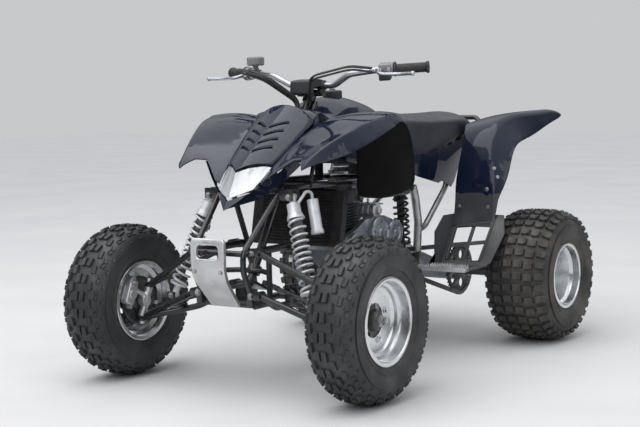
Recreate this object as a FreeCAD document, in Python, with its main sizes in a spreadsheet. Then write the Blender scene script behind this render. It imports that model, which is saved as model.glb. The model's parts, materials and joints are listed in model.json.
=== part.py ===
import FreeCAD, Part
import Sketcher
import math
import os

V = FreeCAD.Vector
os.makedirs("parts", exist_ok=True)
doc = FreeCAD.newDocument("quad_bike")

# Driving sizes in mm. X is across the bike, Y runs from front to rear, Z is up, the ground is Z 0.
SIZES = (
    ("wheelbase", 1245), ("half_length", 915), ("wall", 3.5), ("seat_gap", 0.3), ("run_gap", 0.06),
    ("front_tyre_r", 260), ("front_tyre_half", 89), ("front_plane", 490),
    ("front_bead_r", 127), ("front_rim_half", 75), ("front_flange_x", 14),
    ("rear_tyre_r", 248), ("rear_tyre_half", 128), ("rear_plane", 470),
    ("rear_bead_r", 114), ("rear_rim_half", 113), ("rear_flange_x", -66),
    ("lug_height", 13), ("nut_circle_r", 72), ("spindle_r", 12.5), ("axle_r", 20),
    ("front_disc_r", 82), ("front_disc_x", -48), ("disc_t", 4),
    ("frame_tube_r", 13), ("hoop_r", 9.5), ("frame_half", 150), ("frame_front_half", 100),
    ("frame_front_y", -768), ("low_front_y", -714.4),
    ("cradle_z", 240), ("nose_rail_z", 285), ("arm_tube_r", 10.5), ("arm_bush_r", 14), ("arm_bush_long", 40),
    ("upper_arm_z", 455), ("lower_arm_z", 319), ("arm_front_y", -725), ("arm_rear_y", -520),
    ("ball_upper_x", 402), ("ball_upper_y", -642), ("ball_upper_z", 312),
    ("ball_lower_x", 424), ("ball_lower_y", -662), ("ball_lower_z", 200),
    ("tie_outer_x", 417), ("tie_outer_y", -595), ("tie_outer_z", 230),
    ("pitman_long", 45), ("pitman_half", 25), ("stem_foot_y", -600), ("stem_foot_z", 345),
    ("stem_top_y", -235), ("stem_top_z", 940), ("stem_r", 14), ("bar_r", 11), ("bar_bore_r", 8),
    ("bar_bore_long", 60), ("grip_r", 17), ("clamp_r", 12), ("saddle_wall", 6),
    ("carrier_r", 42), ("carrier_half", 95), ("sprocket_x", 118), ("sprocket_r", 94),
    ("chain_wide", 6), ("pivot_y", 225), ("pivot_z", 340), ("output_y", 130), ("output_z", 335),
    ("lug_shift", 17), ("lug_t", 6), ("pin_r", 5), ("rail_x", 112), ("upright_r", 15), ("side_cover_x", 141),
    ("seat_top_z", 866), ("seat_front_y", 140), ("seat_rear_y", 765),
)
sheet = doc.addObject("Spreadsheet::Sheet", "Sizes")
for row, (alias, value) in enumerate(SIZES, start=1):
    sheet.set("A%d" % row, alias)
    sheet.set("B%d" % row, str(value))
    sheet.setAlias("B%d" % row, alias)
doc.recompute()


def size(alias):
    return float(sheet.get(alias))


FRONT_Y = size("front_tyre_r") - size("half_length")
REAR_Y = FRONT_Y + size("wheelbase")
GAP = size("seat_gap")
WALL = size("wall")
EYE = size("lug_shift") - size("lug_t") / 2 - GAP
SIDES = (("left", 1), ("right", -1))
nodes = []


# Helpers for solids

def line(start, end):
    return Part.makeLine(start, end)


def arc(start, middle, end):
    return Part.Arc(start, middle, end).toShape()


def feature(label, shape, place=None):
    """Keep a shape as one named object of the document."""
    item = doc.addObject("Part::Feature", label)
    item.Label = label
    item.Shape = shape
    if place is not None:
        item.Placement = place
    return item


def node(item):
    """Mark an object as one sub-part of the bike."""
    nodes.append(item)
    return item


def gather(label, items):
    """One sub-part of several solids that don't touch."""
    group = doc.addObject("Part::Compound", label)
    group.Label = label
    group.Links = items
    return node(group)


def both_sides(shape):
    """The left-hand shape and its mirror image on the right."""
    return [shape, shape.mirror(V(0, 0, 0), V(1, 0, 0))]


def joined(shapes):
    """One solid out of overlapping solids, with split faces merged where that stays valid."""
    whole = shapes[0]
    for shape in shapes[1:]:
        whole = whole.fuse(shape)
    merged = whole.copy().removeSplitter()
    return merged if merged.isValid() else whole


def rod(start, end, radius):
    """Round bar between two points."""
    return Part.makeCylinder(radius, (end - start).Length, start, end - start)


def block(low, high):
    """Box between two corners."""
    return Part.makeBox(high[0] - low[0], high[1] - low[1], high[2] - low[2], V(*low))


def tube(points, radius, bend):
    """Round tube along straight runs that meet in tangent arcs."""
    points = [V(*p) for p in points]
    edges = []
    start = points[0]
    for before, corner, after in zip(points, points[1:], points[2:]):
        back = (before - corner).normalize()
        ahead = (after - corner).normalize()
        half = back.getAngle(ahead) / 2
        reach = min(bend / math.tan(half), (before - corner).Length * 0.48, (after - corner).Length * 0.48)
        turn = reach * math.tan(half)
        entry = corner + back * reach
        leave = corner + ahead * reach
        middle = corner + (back + ahead).normalize() * (turn / math.sin(half) - turn)
        edges += [line(start, entry), arc(entry, middle, leave)]
        start = leave
    edges.append(line(start, points[-1]))
    ring = Part.Wire(Part.makeCircle(radius, points[0], points[1] - points[0]))
    return Part.Wire(edges).makePipeShell([ring], True, False)


def faceted(faces):
    """Solid out of flat faces that share their edges."""
    shell = Part.Shell([Part.Face(Part.makePolygon(corners + [corners[0]])) for corners in faces])
    shell.sewShape()
    solid = Part.Solid(shell)
    if solid.Volume < 0:
        solid.reverse()
    return solid


def biggest(shape):
    """Largest solid of a shape, to drop the scraps of a trim."""
    return max(shape.Solids, key=lambda solid: solid.Volume)


def moved(shape, x, y, z):
    copy = shape.copy()
    copy.translate(V(x, y, z))
    return copy


def stay(bar, panel, x, y, z):
    """Bar cut back from a panel by a small shift, kept on the side of the bar's start."""
    return biggest(bar.cut(moved(panel, x, y, z)))


def mirrored(shape):
    return shape.mirror(V(0, 0, 0), V(1, 0, 0))


def rounded(points, radius):
    """Closed wire through the points with tangent arcs of the radius at its corners."""
    points = [V(*p) for p in points]
    count = len(points)
    edges = []
    spots = []
    for index in range(count):
        before, corner, after = points[index - 1], points[index], points[(index + 1) % count]
        back = (before - corner).normalize()
        ahead = (after - corner).normalize()
        half = back.getAngle(ahead) / 2
        reach = min(radius / math.tan(half), (before - corner).Length * 0.48, (after - corner).Length * 0.48)
        turn = reach * math.tan(half)
        middle = corner + (back + ahead).normalize() * (turn / math.sin(half) - turn)
        spots.append((corner + back * reach, middle, corner + ahead * reach))
    for index in range(count):
        entry, middle, leave = spots[index]
        edges.append(arc(entry, middle, leave))
        edges.append(line(leave, spots[(index + 1) % count][0]))
    return Part.Wire(edges)


# Helpers for bodies

def new_body(label, place=None):
    body = doc.addObject("PartDesign::Body", label)
    body.Label = label
    if place is not None:
        body.Placement = place
    return body


def sketch_in(body, role, name, offset=0.0):
    """Sketch on an origin plane of the body, moved along the plane's normal."""
    sketch = body.newObject("Sketcher::SketchObject", body.Name + "_" + name)
    plane = [item for item in body.Origin.OriginFeatures if item.Role == role][0]
    sketch.AttachmentSupport = [(plane, "")]
    sketch.MapMode = "FlatFace"
    sketch.AttachmentOffset = FreeCAD.Placement(V(0, 0, offset), FreeCAD.Rotation())
    return sketch


def amount(entry):
    """Number and expression of a coordinate, given as a number or (alias, factor, add)."""
    if isinstance(entry, tuple):
        alias, factor, add = entry
        return size(alias) * factor + add, "Sizes.%s * (%s) + (%s)" % (alias, factor, add)
    return float(entry), None


def pin_point(sketch, geometry, point, place):
    """Hold a point of the sketch at its two coordinates."""
    for entry, kind, axis in ((place[0], "DistanceX", -2), (place[1], "DistanceY", -1)):
        value, expression = amount(entry)
        if abs(value) < 1e-9:
            sketch.addConstraint(Sketcher.Constraint("PointOnObject", geometry, point, axis))
            continue
        index = sketch.addConstraint(Sketcher.Constraint(kind, -1, 1, geometry, point, value))
        if expression:
            sketch.setExpression("Constraints[%d]" % index, expression)


def outline(sketch, corners):
    """Closed outline of straight lines through the corners."""
    places = [V(amount(x)[0], amount(y)[0], 0) for x, y in corners]
    first = sketch.GeometryCount
    count = len(places)
    for index in range(count):
        sketch.addGeometry(Part.LineSegment(places[index], places[(index + 1) % count]), False)
    for index in range(count):
        after = first + (index + 1) % count
        sketch.addConstraint(Sketcher.Constraint("Coincident", first + index, 2, after, 1))
    for index, place in enumerate(corners):
        pin_point(sketch, first + index, 1, place)


def circle(sketch, place, radius):
    """Full circle with its centre and radius held."""
    value, expression = amount(radius)
    centre = V(amount(place[0])[0], amount(place[1])[0], 0)
    index = sketch.addGeometry(Part.Circle(centre, V(0, 0, 1), value), False)
    pin_point(sketch, index, 3, place)
    held = sketch.addConstraint(Sketcher.Constraint("Radius", index, value))
    if expression:
        sketch.setExpression("Constraints[%d]" % held, expression)


def revolve(body, corners, name="profile"):
    """Turn an outline (x, r) about the body's X axis."""
    sketch = sketch_in(body, "XY_Plane", name)
    outline(sketch, corners)
    turned = body.newObject("PartDesign::Revolution", body.Name + "_turned_" + name)
    turned.Profile = sketch
    turned.ReferenceAxis = (sketch, ["H_Axis"])
    turned.Angle = 360
    sketch.Visibility = False
    return turned


def pad(body, sketch, length, expression=None, reverse=False):
    item = body.newObject("PartDesign::Pad", sketch.Name + "_pad")
    item.Profile = sketch
    item.Length = length
    item.Reversed = reverse
    if expression:
        item.setExpression("Length", expression)
    return item


def pocket(body, sketch, length, reverse=False):
    item = body.newObject("PartDesign::Pocket", sketch.Name + "_pocket")
    item.Profile = sketch
    item.Length = length
    item.Reversed = reverse
    return item


def around(body, items, count, role="X_Axis"):
    """Repeat features evenly about an axis of the body."""
    axis = [item for item in body.Origin.OriginFeatures if item.Role == role][0]
    pattern = body.newObject("PartDesign::PolarPattern", items[0].Name + "_ring")
    pattern.Originals = items
    pattern.Axis = (axis, [""])
    pattern.Angle = 360
    pattern.Occurrences = count
    body.Tip = pattern
    return pattern


def along(body, items, count, length, role="Z_Axis"):
    """Repeat features evenly along an axis of the body."""
    axis = [item for item in body.Origin.OriginFeatures if item.Role == role][0]
    pattern = body.newObject("PartDesign::LinearPattern", items[0].Name + "_row")
    pattern.Originals = items
    pattern.Direction = (axis, [""])
    pattern.Length = length
    pattern.Occurrences = count
    body.Tip = pattern
    return pattern


def wheel_place(side, plane_x, y, z):
    """Placement of a wheel part whose local X points outward."""
    turn = FreeCAD.Rotation(V(0, 0, 1), 0 if side > 0 else 180)
    return FreeCAD.Placement(V(side * plane_x, y, z), turn)


# Tyres

def tyre(label, tip_r, half_width, bead_r, bead_x, pitches, rows, place):
    """Tyre of flat cells with raised lugs, two stations to a pitch.

    rows holds (outer x, drop, lug phase) from the middle column outward, phase None for a groove.
    """
    stations = 2 * pitches
    step = 2 * math.pi / stations
    flat = 1 / math.cos(step / 2)
    lug = size("lug_height")
    carcass = tip_r - lug
    side = [(bead_x - 14, bead_r), (bead_x - 1.5, bead_r + 15), (half_width, bead_r * 0.45 + carcass * 0.55)]
    right = [(x, carcass - drop) for x, drop, phase in rows] + side[::-1]
    profile = [(-x, r) for x, r in right[::-1]] + right
    outward = [phase for x, drop, phase in rows[1:]] + [None] * 3
    phases = outward[::-1] + [rows[0][2]] + outward
    last = len(profile) - 1

    def spot(column, station, raised=0.0):
        x, r = profile[column]
        angle = (station - 0.5) * step - math.pi / 2
        lean = 0.35 * raised * (1 if x > 0 else -1) if abs(x) > rows[1][0] else 0.0
        r = (r + raised) * flat
        return V(x + lean, r * math.cos(angle), r * math.sin(angle))

    def is_lug(column, station):
        phase = phases[column]
        return phase is not None and station % 2 == phase

    faces = []
    for column in (0, 1, last - 2, last - 1):
        for station in range(0, stations, 2):
            faces.append([spot(column, station), spot(column + 1, station),
                          spot(column + 1, station + 2), spot(column, station + 2)])
    for coarse, fine in ((2, 3), (last - 2, last - 3)):
        for station in range(0, stations, 2):
            near, far = spot(coarse, station), spot(coarse, station + 2)
            middle = spot(fine, station + 1)
            faces.append([near, spot(fine, station), middle])
            faces.append([near, middle, far])
            faces.append([far, middle, spot(fine, station + 2)])
    for column in range(3, last - 3):
        for station in range(stations):
            up = lug if is_lug(column, station) else 0.0
            faces.append([spot(column, station, up), spot(column + 1, station, up),
                          spot(column + 1, station + 1, up), spot(column, station + 1, up)])
            if not up:
                continue
            for edge in (station, station + 1):
                faces.append([spot(column, edge), spot(column + 1, edge),
                              spot(column + 1, edge, up), spot(column, edge, up)])
            for wall in (column, column + 1):
                faces.append([spot(wall, station), spot(wall, station + 1),
                              spot(wall, station + 1, up), spot(wall, station, up)])
    inner = [(-bead_x + 14, bead_r), (-rows[-1][0] + 4, profile[3][1] - 9)]
    inner += [(-x, r) for x, r in inner[::-1]]
    for (x1, r1), (x2, r2) in zip(inner, inner[1:]):
        for station in range(0, stations, 2):
            ring = []
            for x, r, at in ((x1, r1, station), (x2, r2, station),
                             (x2, r2, station + 2), (x1, r1, station + 2)):
                angle = (at - 0.5) * step - math.pi / 2
                ring.append(V(x, r * flat * math.cos(angle), r * flat * math.sin(angle)))
            faces.append(ring)
    return feature(label, faceted(faces), place)


# Wheels

def front_rim(label, place):
    """Deep dished rim: rolled lips, bead seats, drop centre and a bolted flange."""
    body = new_body(label, place)
    w, b = "front_rim_half", "front_bead_r"
    revolve(body, (
        ((w, -1, 0), (b, 1, 8)), ((w, -1, 2), (b, 1, 12)), ((w, -1, 5), (b, 1, 12)), ((w, -1, 6), (b, 1, 0)),
        ((w, -1, 26), (b, 1, -1)), ((w, -1, 35), (b, 1, -14)), ((w, 1, -45), (b, 1, -14)),
        ((w, 1, -32), (b, 1, -1)), ((w, 1, -6), (b, 1, 0)), ((w, 1, -5), (b, 1, 12)), ((w, 1, -2), (b, 1, 12)),
        ((w, 1, 0), (b, 1, 8)), ((w, 1, -2), (b, 1, -4)), ((w, 1, -30), (b, 1, -5)),
        ((w, 1, -42), (b, 1, -19)),
        (24, (b, 1, -23)), (("front_flange_x", 1, 5), (b, 1, -34)), (("front_flange_x", 1, 5), 40),
        (("front_flange_x", 1, 0), 40),
        (("front_flange_x", 1, 0), (b, 1, -30)), (16, (b, 1, -19)), ((w, -1, 37), (b, 1, -18)),
        ((w, -1, 28), (b, 1, -5)), ((w, -1, 2), (b, 1, -4))))
    sketch = sketch_in(body, "YZ_Plane", "nut", size("front_flange_x") + 4)
    circle(sketch, (("nut_circle_r", 1, 0), 0), 9)
    nut = pad(body, sketch, 13)
    around(body, [nut], 4)
    hole = sketch_in(body, "YZ_Plane", "hole", size("front_flange_x") + 8)
    radius = size("nut_circle_r") * math.sqrt(0.5)
    circle(hole, (radius, radius), 6)
    cut = pocket(body, hole, 20)
    around(body, [cut], 4)
    return body


def front_hub(label, place):
    """Hub with four arms behind the rim's flange and a dust cap through it."""
    body = new_body(label, place)
    bore = ("spindle_r", 1, size("run_gap"))
    face = ("front_flange_x", 1, -0.0)
    revolve(body, (
        (-57, bore), (-57, 24), (-51, 34), (-40, 34), (-36, 27), (4, 27), (4, 40), (face, 40),
        (face, 34), (34, 30), (40, 22), (40, 0), (34, 0), (34, 20), (20, bore)))
    sketch = sketch_in(body, "YZ_Plane", "arm", 3)
    outline(sketch, ((30, -17), (("nut_circle_r", 1, 14), -13), (("nut_circle_r", 1, 14), 13), (30, 17)))
    arm = pad(body, sketch, size("front_flange_x") - 3)
    around(body, [arm], 4)
    return body


def disc(label, place, radius, bore, thick, holes):
    """Drilled brake disc about the local X axis, with its inner face at local X 0."""
    body = new_body(label, place)
    sketch = sketch_in(body, "YZ_Plane", "ring")
    circle(sketch, (0, 0), radius)
    circle(sketch, (0, 0), bore)
    pad(body, sketch, thick)
    reach = amount(radius)[0] * 0.80
    hole = sketch_in(body, "YZ_Plane", "hole", thick + 2)
    circle(hole, (reach, 0), 4)
    cut = pocket(body, hole, thick + 6)
    around(body, [cut], holes)
    return body


def front_wheel(side_name, side):
    place = wheel_place(side, size("front_plane"), FRONT_Y, size("front_tyre_r"))
    rows = ((22, 0, 0), (36, 2, None), (70, 16, 1))
    node(tyre("front_tyre_" + side_name, size("front_tyre_r"), size("front_tyre_half"),
              size("front_bead_r") + GAP, size("front_rim_half") - 6, 22, rows, place))
    node(front_rim("front_rim_" + side_name, place))
    hub = front_hub("hub_core_" + side_name, place)
    shift = FreeCAD.Placement(V(size("front_disc_x") - size("disc_t") / 2, 0, 0), FreeCAD.Rotation())
    rotor = disc("disc_front_" + side_name, place.multiply(shift), ("front_disc_r", 1, 0),
                 34 + GAP, size("disc_t"), 12)
    gather("front_hub_" + side_name, [hub, rotor])


def rear_rim(label, place):
    """Stepped rear rim with its disc far inboard."""
    body = new_body(label, place)
    w, b, f = "rear_rim_half", "rear_bead_r", "rear_flange_x"
    revolve(body, (
        ((w, -1, 0), (b, 1, 7)), ((w, -1, 2), (b, 1, 11)), ((w, -1, 5), (b, 1, 11)), ((w, -1, 6), (b, 1, 0)),
        ((w, -1, 24), (b, 1, -1)), ((w, -1, 34), (b, 1, -18)), (-10, (b, 1, -18)), (6, (b, 1, -12)),
        ((w, 1, -40), (b, 1, -12)), ((w, 1, -30), (b, 1, -1)), ((w, 1, -6), (b, 1, 0)),
        ((w, 1, -5), (b, 1, 11)), ((w, 1, -2), (b, 1, 11)), ((w, 1, 0), (b, 1, 7)), ((w, 1, -2), (b, 1, -4)),
        ((w, 1, -28), (b, 1, -5)), ((w, 1, -38), (b, 1, -16)), (8, (b, 1, -16)), (-8, (b, 1, -22)),
        ((f, 1, 24), (b, 1, -24)), ((f, 1, 5), (b, 1, -40)), ((f, 1, 5), 42), ((f, 1, 0), 42),
        ((f, 1, 0), (b, 1, -36)), ((f, 1, 10), (b, 1, -22)), ((w, -1, 36), (b, 1, -22)),
        ((w, -1, 26), (b, 1, -5)), ((w, -1, 2), (b, 1, -4))))
    hole = sketch_in(body, "YZ_Plane", "hole", size(f) + 12)
    radius = 60 * math.sqrt(0.5)
    circle(hole, (radius, radius), 6)
    cut = pocket(body, hole, 20)
    around(body, [cut], 4)
    return body


def rear_axle():
    """Live axle with wheel hubs, sprocket carrier and disc carrier."""
    flange = size("rear_plane") + size("rear_flange_x")
    shaft = new_body("rear_axle", FreeCAD.Placement(V(0, REAR_Y, size("rear_tyre_r")), FreeCAD.Rotation()))
    a = "axle_r"
    half = ((98, (a, 1, 0)), (98, 36), (108, 36), (108, 28), (122, 28), (122, (a, 1, 0)),
            (flange - 44, (a, 1, 0)), (flange - 44, 30), (flange - 8, 30), (flange - 8, 62), (flange, 62),
            (flange, 38), (flange + 20, 34), (flange + 34, 20), (flange + 48, 20), (flange + 48, 0))
    revolve(shaft, half + tuple((-x, r) for x, r in half[::-1]))
    return node(shaft)


def rear_wheels():
    rows = ((30, 0, 0), (46, 1, None), (103, 9, 1))
    tyres, rims = [], []
    for side_name, side in SIDES:
        place = wheel_place(side, size("rear_plane"), REAR_Y, size("rear_tyre_r"))
        tyres.append(tyre("tyre_rear_" + side_name, size("rear_tyre_r"), size("rear_tyre_half"),
                          size("rear_bead_r") + GAP, size("rear_rim_half") - 6, 20, rows, place))
        rims.append(rear_rim("rim_rear_" + side_name, place))
    gather("rear_tyres", tyres)
    gather("rear_rims", rims)
    middle = FreeCAD.Placement(V(size("sprocket_x") - 3.5, REAR_Y, size("rear_tyre_r")), FreeCAD.Rotation())
    node(sprocket("rear_sprocket", middle))
    left = FreeCAD.Placement(V(-size("sprocket_x") - 2, REAR_Y, size("rear_tyre_r")), FreeCAD.Rotation())
    node(disc("rear_brake_disc", left, 88, 28 + GAP, 4, 12))


def sprocket(label, place):
    """Toothed wheel with five windows."""
    body = new_body(label, place)
    sketch = sketch_in(body, "YZ_Plane", "wheel")
    circle(sketch, (0, 0), ("sprocket_r", 1, -6))
    circle(sketch, (0, 0), 28 + GAP)
    pad(body, sketch, 7)
    tooth = sketch_in(body, "YZ_Plane", "tooth")
    outline(tooth, ((("sprocket_r", 1, -9), -5), (("sprocket_r", 1, 2), -2), (("sprocket_r", 1, 2), 2),
                    (("sprocket_r", 1, -9), 5)))
    teeth = pad(body, tooth, 7)
    around(body, [teeth], 38)
    hole = sketch_in(body, "YZ_Plane", "window", 9)
    circle(hole, (58, 0), 17)
    cut = pocket(body, hole, 14)
    around(body, [cut], 5)
    return body


for side_name, side in SIDES:
    front_wheel(side_name, side)
rear_axle()
rear_wheels()


# Frame

def frame(lamp, nose_solid, tank_solid, fender):
    """Tube cradle: lower rails, front hoops, top rails, stem bearings, shock lugs and the panels' stays."""
    r, hoop = size("frame_tube_r"), size("hoop_r")
    front, half, y0 = size("frame_front_half"), size("frame_half"), size("frame_front_y")
    low, mid, cradle = size("nose_rail_z"), size("upper_arm_z"), size("cradle_z")
    pivot_y, pivot_z, low_y = size("pivot_y"), size("pivot_z"), size("low_front_y")
    runs = (
        (r, ((front, low_y, low), (front, -636, low), (front, -596, low - 21), (front, -500, low - 23),
             (half - 10, -400, cradle), (half, 120, cradle), (half, pivot_y - 12, 292))),
        (hoop, ((front, low_y, low), (front, y0, 398), (front, y0, mid), (118, -590, 640),
                (136, -430, 650))),
        (r, top_rail_run()),
        (r - 1, ((front, y0, mid), (front, -500, mid), (front + 20, -430, 380), (half - 10, -396, cradle))),
        (hoop, ((front, -480, mid), (132, -520, 645))),
        (hoop, ((front, -632, low), (front, -632, mid))),
    )
    pieces = []
    for radius, run in runs:
        for side in (1, -1):
            pieces.append(tube([(side * x, y, z) for x, y, z in run], radius, 60))
    for x, y, z, radius in ((front, low_y, low, hoop), (front, y0, mid, hoop), (half, -60, cradle, r),
                            (half - 10, -250, cradle, r), (118, -588, 640, hoop),
                            (half, pivot_y, pivot_z, 11), (half - 6, 80, 638, r), (half - 4, -297.4, 629.8, 10),
                            (136, -413, 655, 10)):
        pieces.append(rod(V(-x, y, z), V(x, y, z), radius))
    pieces.append(tube(((-front, -632, 378), (-44, -596, 378), (44, -596, 378), (front, -632, 378)), hoop - 1, 30))
    foot, head, axis = stem_points()
    foot_eye, head_eye = shock_ends()
    lug_t = size("lug_t")
    for along_stem in (26, (655 - foot.z) / axis.z - 13):
        pieces.append(rod(foot + axis * along_stem, foot + axis * (along_stem + 26), 23))
    for side in (1, -1):
        for shift in (size("lug_shift"), -size("lug_shift")):
            y = head_eye.y + shift
            pieces.append(block((min(side * 112, side * 178), y - lug_t / 2, 612),
                                (max(side * 112, side * 178), y + lug_t / 2, 646)))
        pin = V(side * head_eye.x, head_eye.y, head_eye.z)
        pieces.append(rod(pin - V(0, 18, 0), pin + V(0, 18, 0), size("pin_r")))
        inner, outer = sorted((side * (front - 8), side * (front + size("frame_tube_r"))))
        for y in (size("arm_front_y"), size("arm_rear_y")):
            foot_z = low if y < -632 else low - 24
            pieces.append(block((inner, y - 18, foot_z), (outer, y + 18, size("lower_arm_z") + 10)))
            pieces.append(block((inner, y - 18, mid - 12), (outer, y + 18, mid + 12)))
        pieces.append(rod(V(side * 40, y0, mid), V(side * 40, -809, mid), hoop - 2))
        chin = rod(V(side * 70, -588, 640), V(side * 70, -690, 630), 6)
        pieces.append(stay(chin, nose_solid, 0, GAP, 0))
        lug = block((min(side * 124, side * 137), -18, 630), (max(side * 124, side * 137), 18, 760))
        pieces.append(stay(lug, tank_solid, 0, 0, -GAP))
        post = rod(V(side * 134, -440, 645), V(side * 168, -420, 880), 7)
        pieces.append(stay(post, fender if side > 0 else mirrored(fender), 0, 0, -GAP))
        near, far = sorted((side * (half - 4), side * (half + 4)))
        pieces.append(block((near, pivot_y - 75, 228), (far, pivot_y + 14, pivot_z + 16)))
    arm_bar = block((-16, -700, 634), (16, -580, 646))
    pieces.append(stay(arm_bar, lamp, 0, GAP, 0))
    solid = joined(pieces)
    solid = solid.cut(rod(foot, head, size("stem_r") + size("run_gap")))
    upright = tube(upright_run(), size("upright_r") + GAP, 70)
    solid = solid.cut(upright).cut(mirrored(upright))
    return node(feature("frame", biggest(solid)))


def top_rail_run():
    half = size("frame_half")
    return ((136, -450, 650), (half, -330, 645), (half - 10, 90, 640), (half, size("pivot_y") - 16, 588))


def upright_run():
    half, y, z = size("frame_half"), size("pivot_y"), size("pivot_z")
    return ((half, y - 30, 602), (half, y - 12, 556), (half, y + 6, 465), (half, y - 6, z + 18))


def pivot_uprights():
    """Bright curved uprights between the top rails and the swingarm pivot."""
    gather_shapes("pivot_uprights", both_sides(tube(upright_run(), size("upright_r"), 70)))


def subframe(seat_solid):
    """Seat rails, rear hoop, struts, the shock's upper lugs and the stays of seat, covers and lamp."""
    half, rail_x = size("frame_half") - 10, size("rail_x")
    rail = ((half, 100, 664), (rail_x + 10, 220, 660), (rail_x, 560, 715), (rail_x - 4, 745, 764))
    strut = ((rail_x + 4, 560, 712), (127, 478, 576), (half + 4, 290, 446),
             (half + 10, size("pivot_y") + 10, 438))
    cover_x = size("side_cover_x")
    pieces = []
    for side in (1, -1):
        pieces.append(tube([(side * x, y, z) for x, y, z in rail], 12, 80))
        pieces.append(tube([(side * x, y, z) for x, y, z in strut], 11, 60))
        low, high = sorted((side * (half - 8), side * (half + 8)))
        pieces.append(block((low, 84, 648), (high, 116, 664)))
        low, high = sorted((side * (rail_x - 24), side * (rail_x - 8)))
        for y, z in ((352, 668), (590, 722)):
            bar = block((low, y - 14, z), (high, y + 14, 830))
            pieces.append(stay(bar, seat_solid, 0, 0, -GAP))
        for y, z in ((320, 676), (540, 711)):
            pieces.append(rod(V(side * rail_x, y, z), V(side * (cover_x - GAP), y, z), 6))
    pieces.append(rod(V(4 - rail_x, 733, 761), V(rail_x - 4, 733, 761), 10))
    pieces.append(rod(V(-rail_x, 352, 681), V(rail_x, 352, 681), 12))
    for x in (size("lug_shift"), -size("lug_shift")):
        pieces.append(block((x - size("lug_t") / 2, 332, 574), (x + size("lug_t") / 2, 370, 688)))
    pieces.append(rod(V(-18, 350, 590), V(18, 350, 590), size("pin_r")))
    pieces.append(block((-22, 735, 752), (22, 780 - GAP, 768)))
    solid = joined(pieces)
    for run, radius, bend in ((upright_run(), size("upright_r"), 70),
                              (top_rail_run(), size("frame_tube_r"), 60)):
        held = tube(run, radius + GAP, bend)
        solid = solid.cut(held).cut(mirrored(held))
    return node(feature("subframe", biggest(solid)))


def side_covers():
    """Gloss panels on both sides under the seat."""
    panels = []
    for side_name, side in SIDES:
        body = new_body("side_cover_" + side_name)
        sketch = sketch_in(body, "YZ_Plane", "panel", side * size("side_cover_x"))
        outline(sketch, ((222, 640), (250, 632), (398, 599), (424, 606), (494, 577), (520, 598), (580, 690),
                         (632, 750), (600, 762), (480, 736), (330, 712), (222, 722)))
        pad(body, sketch, 4, reverse=side < 0)
        panels.append(body)
    gather("side_covers", panels)


# Front suspension

def arm(inner_x, inner_z, ball, rear_y, rear_sag):
    """One A-arm: two legs from the bushes to the ball joint, the rear one sagging under the tie rod."""
    r = size("arm_tube_r")
    bush_x = inner_x + size("frame_tube_r") + GAP + size("arm_bush_r")
    half = size("arm_bush_long") / 2
    front_y = size("arm_front_y")
    pieces = []
    for y, sag, share in ((front_y, 0, 0.62), (rear_y, rear_sag, 0.62 if rear_sag == 0 else 0.34)):
        pieces.append(rod(V(bush_x, y - half, inner_z), V(bush_x, y + half, inner_z), size("arm_bush_r")))
        knee = V(bush_x + (ball.x - bush_x) * share, y + (ball.y - y) * (share + 0.04),
                 inner_z + (ball.z - inner_z) * share - sag)
        pieces.append(tube([(bush_x, y, inner_z), tuple(knee), tuple(ball)], r, 150))
    return pieces


def balls():
    upper = V(size("ball_upper_x"), size("ball_upper_y"), size("ball_upper_z"))
    lower = V(size("ball_lower_x"), size("ball_lower_y"), size("ball_lower_z"))
    return upper, lower


def kingpin():
    upper, lower = balls()
    return (upper - lower).normalize()


def arms():
    front = size("frame_front_half")
    upper, lower = balls()
    for label, ball, z, sag in (("upper_arms", upper, size("upper_arm_z"), 0),
                                ("lower_arms", lower, size("lower_arm_z"), 34)):
        king = kingpin()
        way = king if label == "upper_arms" else king * -1
        pieces = arm(front, z, ball, size("arm_rear_y"), sag)
        room = rod(ball - way * 40, ball - way * 5.7, 26)
        pieces = [piece.cut(room) for piece in pieces]
        pieces += [rod(ball - way * 5.7, ball + way * 10, 14), rod(ball - way * 20, ball, 6)]
        if label == "lower_arms":
            foot, head = shock_ends()
            for shift in (-size("lug_shift"), size("lug_shift")):
                y = foot.y + shift
                pieces.append(block((foot.x - 14, y - size("lug_t") / 2, foot.z - 36),
                                    (foot.x + 14, y + size("lug_t") / 2, foot.z + 12)))
            pieces.append(rod(foot - V(0, 18, 0), foot + V(0, 18, 0), size("pin_r")))
            pieces.append(rod(V(foot.x, foot.y - 44, foot.z - 32), V(foot.x, foot.y + 52, foot.z - 36), 9))
        solid = joined(pieces)
        node(feature(label, Part.makeCompound(both_sides(solid))))


def shock_ends():
    return V(280, -655, 288), V(163, -585, 622)


def coil(start, end, radius, wire, turns):
    """Faceted spring of square wire between two points."""
    per_turn = 10
    count = int(turns * per_turn)
    axis = (end - start).normalize()
    side = axis.cross(V(0, 1, 0)).normalize()
    other = axis.cross(side)
    length = (end - start).Length - 2 * wire
    rings = []
    for index in range(count + 1):
        angle = 2 * math.pi * index / per_turn
        out = side * math.cos(angle) + other * math.sin(angle)
        centre = start + axis * (wire + length * index / count)
        rings.append([centre + out * (radius + a * wire) + axis * (b * wire)
                      for a, b in ((1, 0), (0, 1), (-1, 0), (0, -1))])
    faces = [rings[0], rings[-1][::-1]]
    for one, two in zip(rings, rings[1:]):
        for index in range(4):
            after = (index + 1) % 4
            faces.append([one[index], one[after], two[after]])
            faces.append([one[index], two[after], two[index]])
    return faceted(faces)


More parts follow.
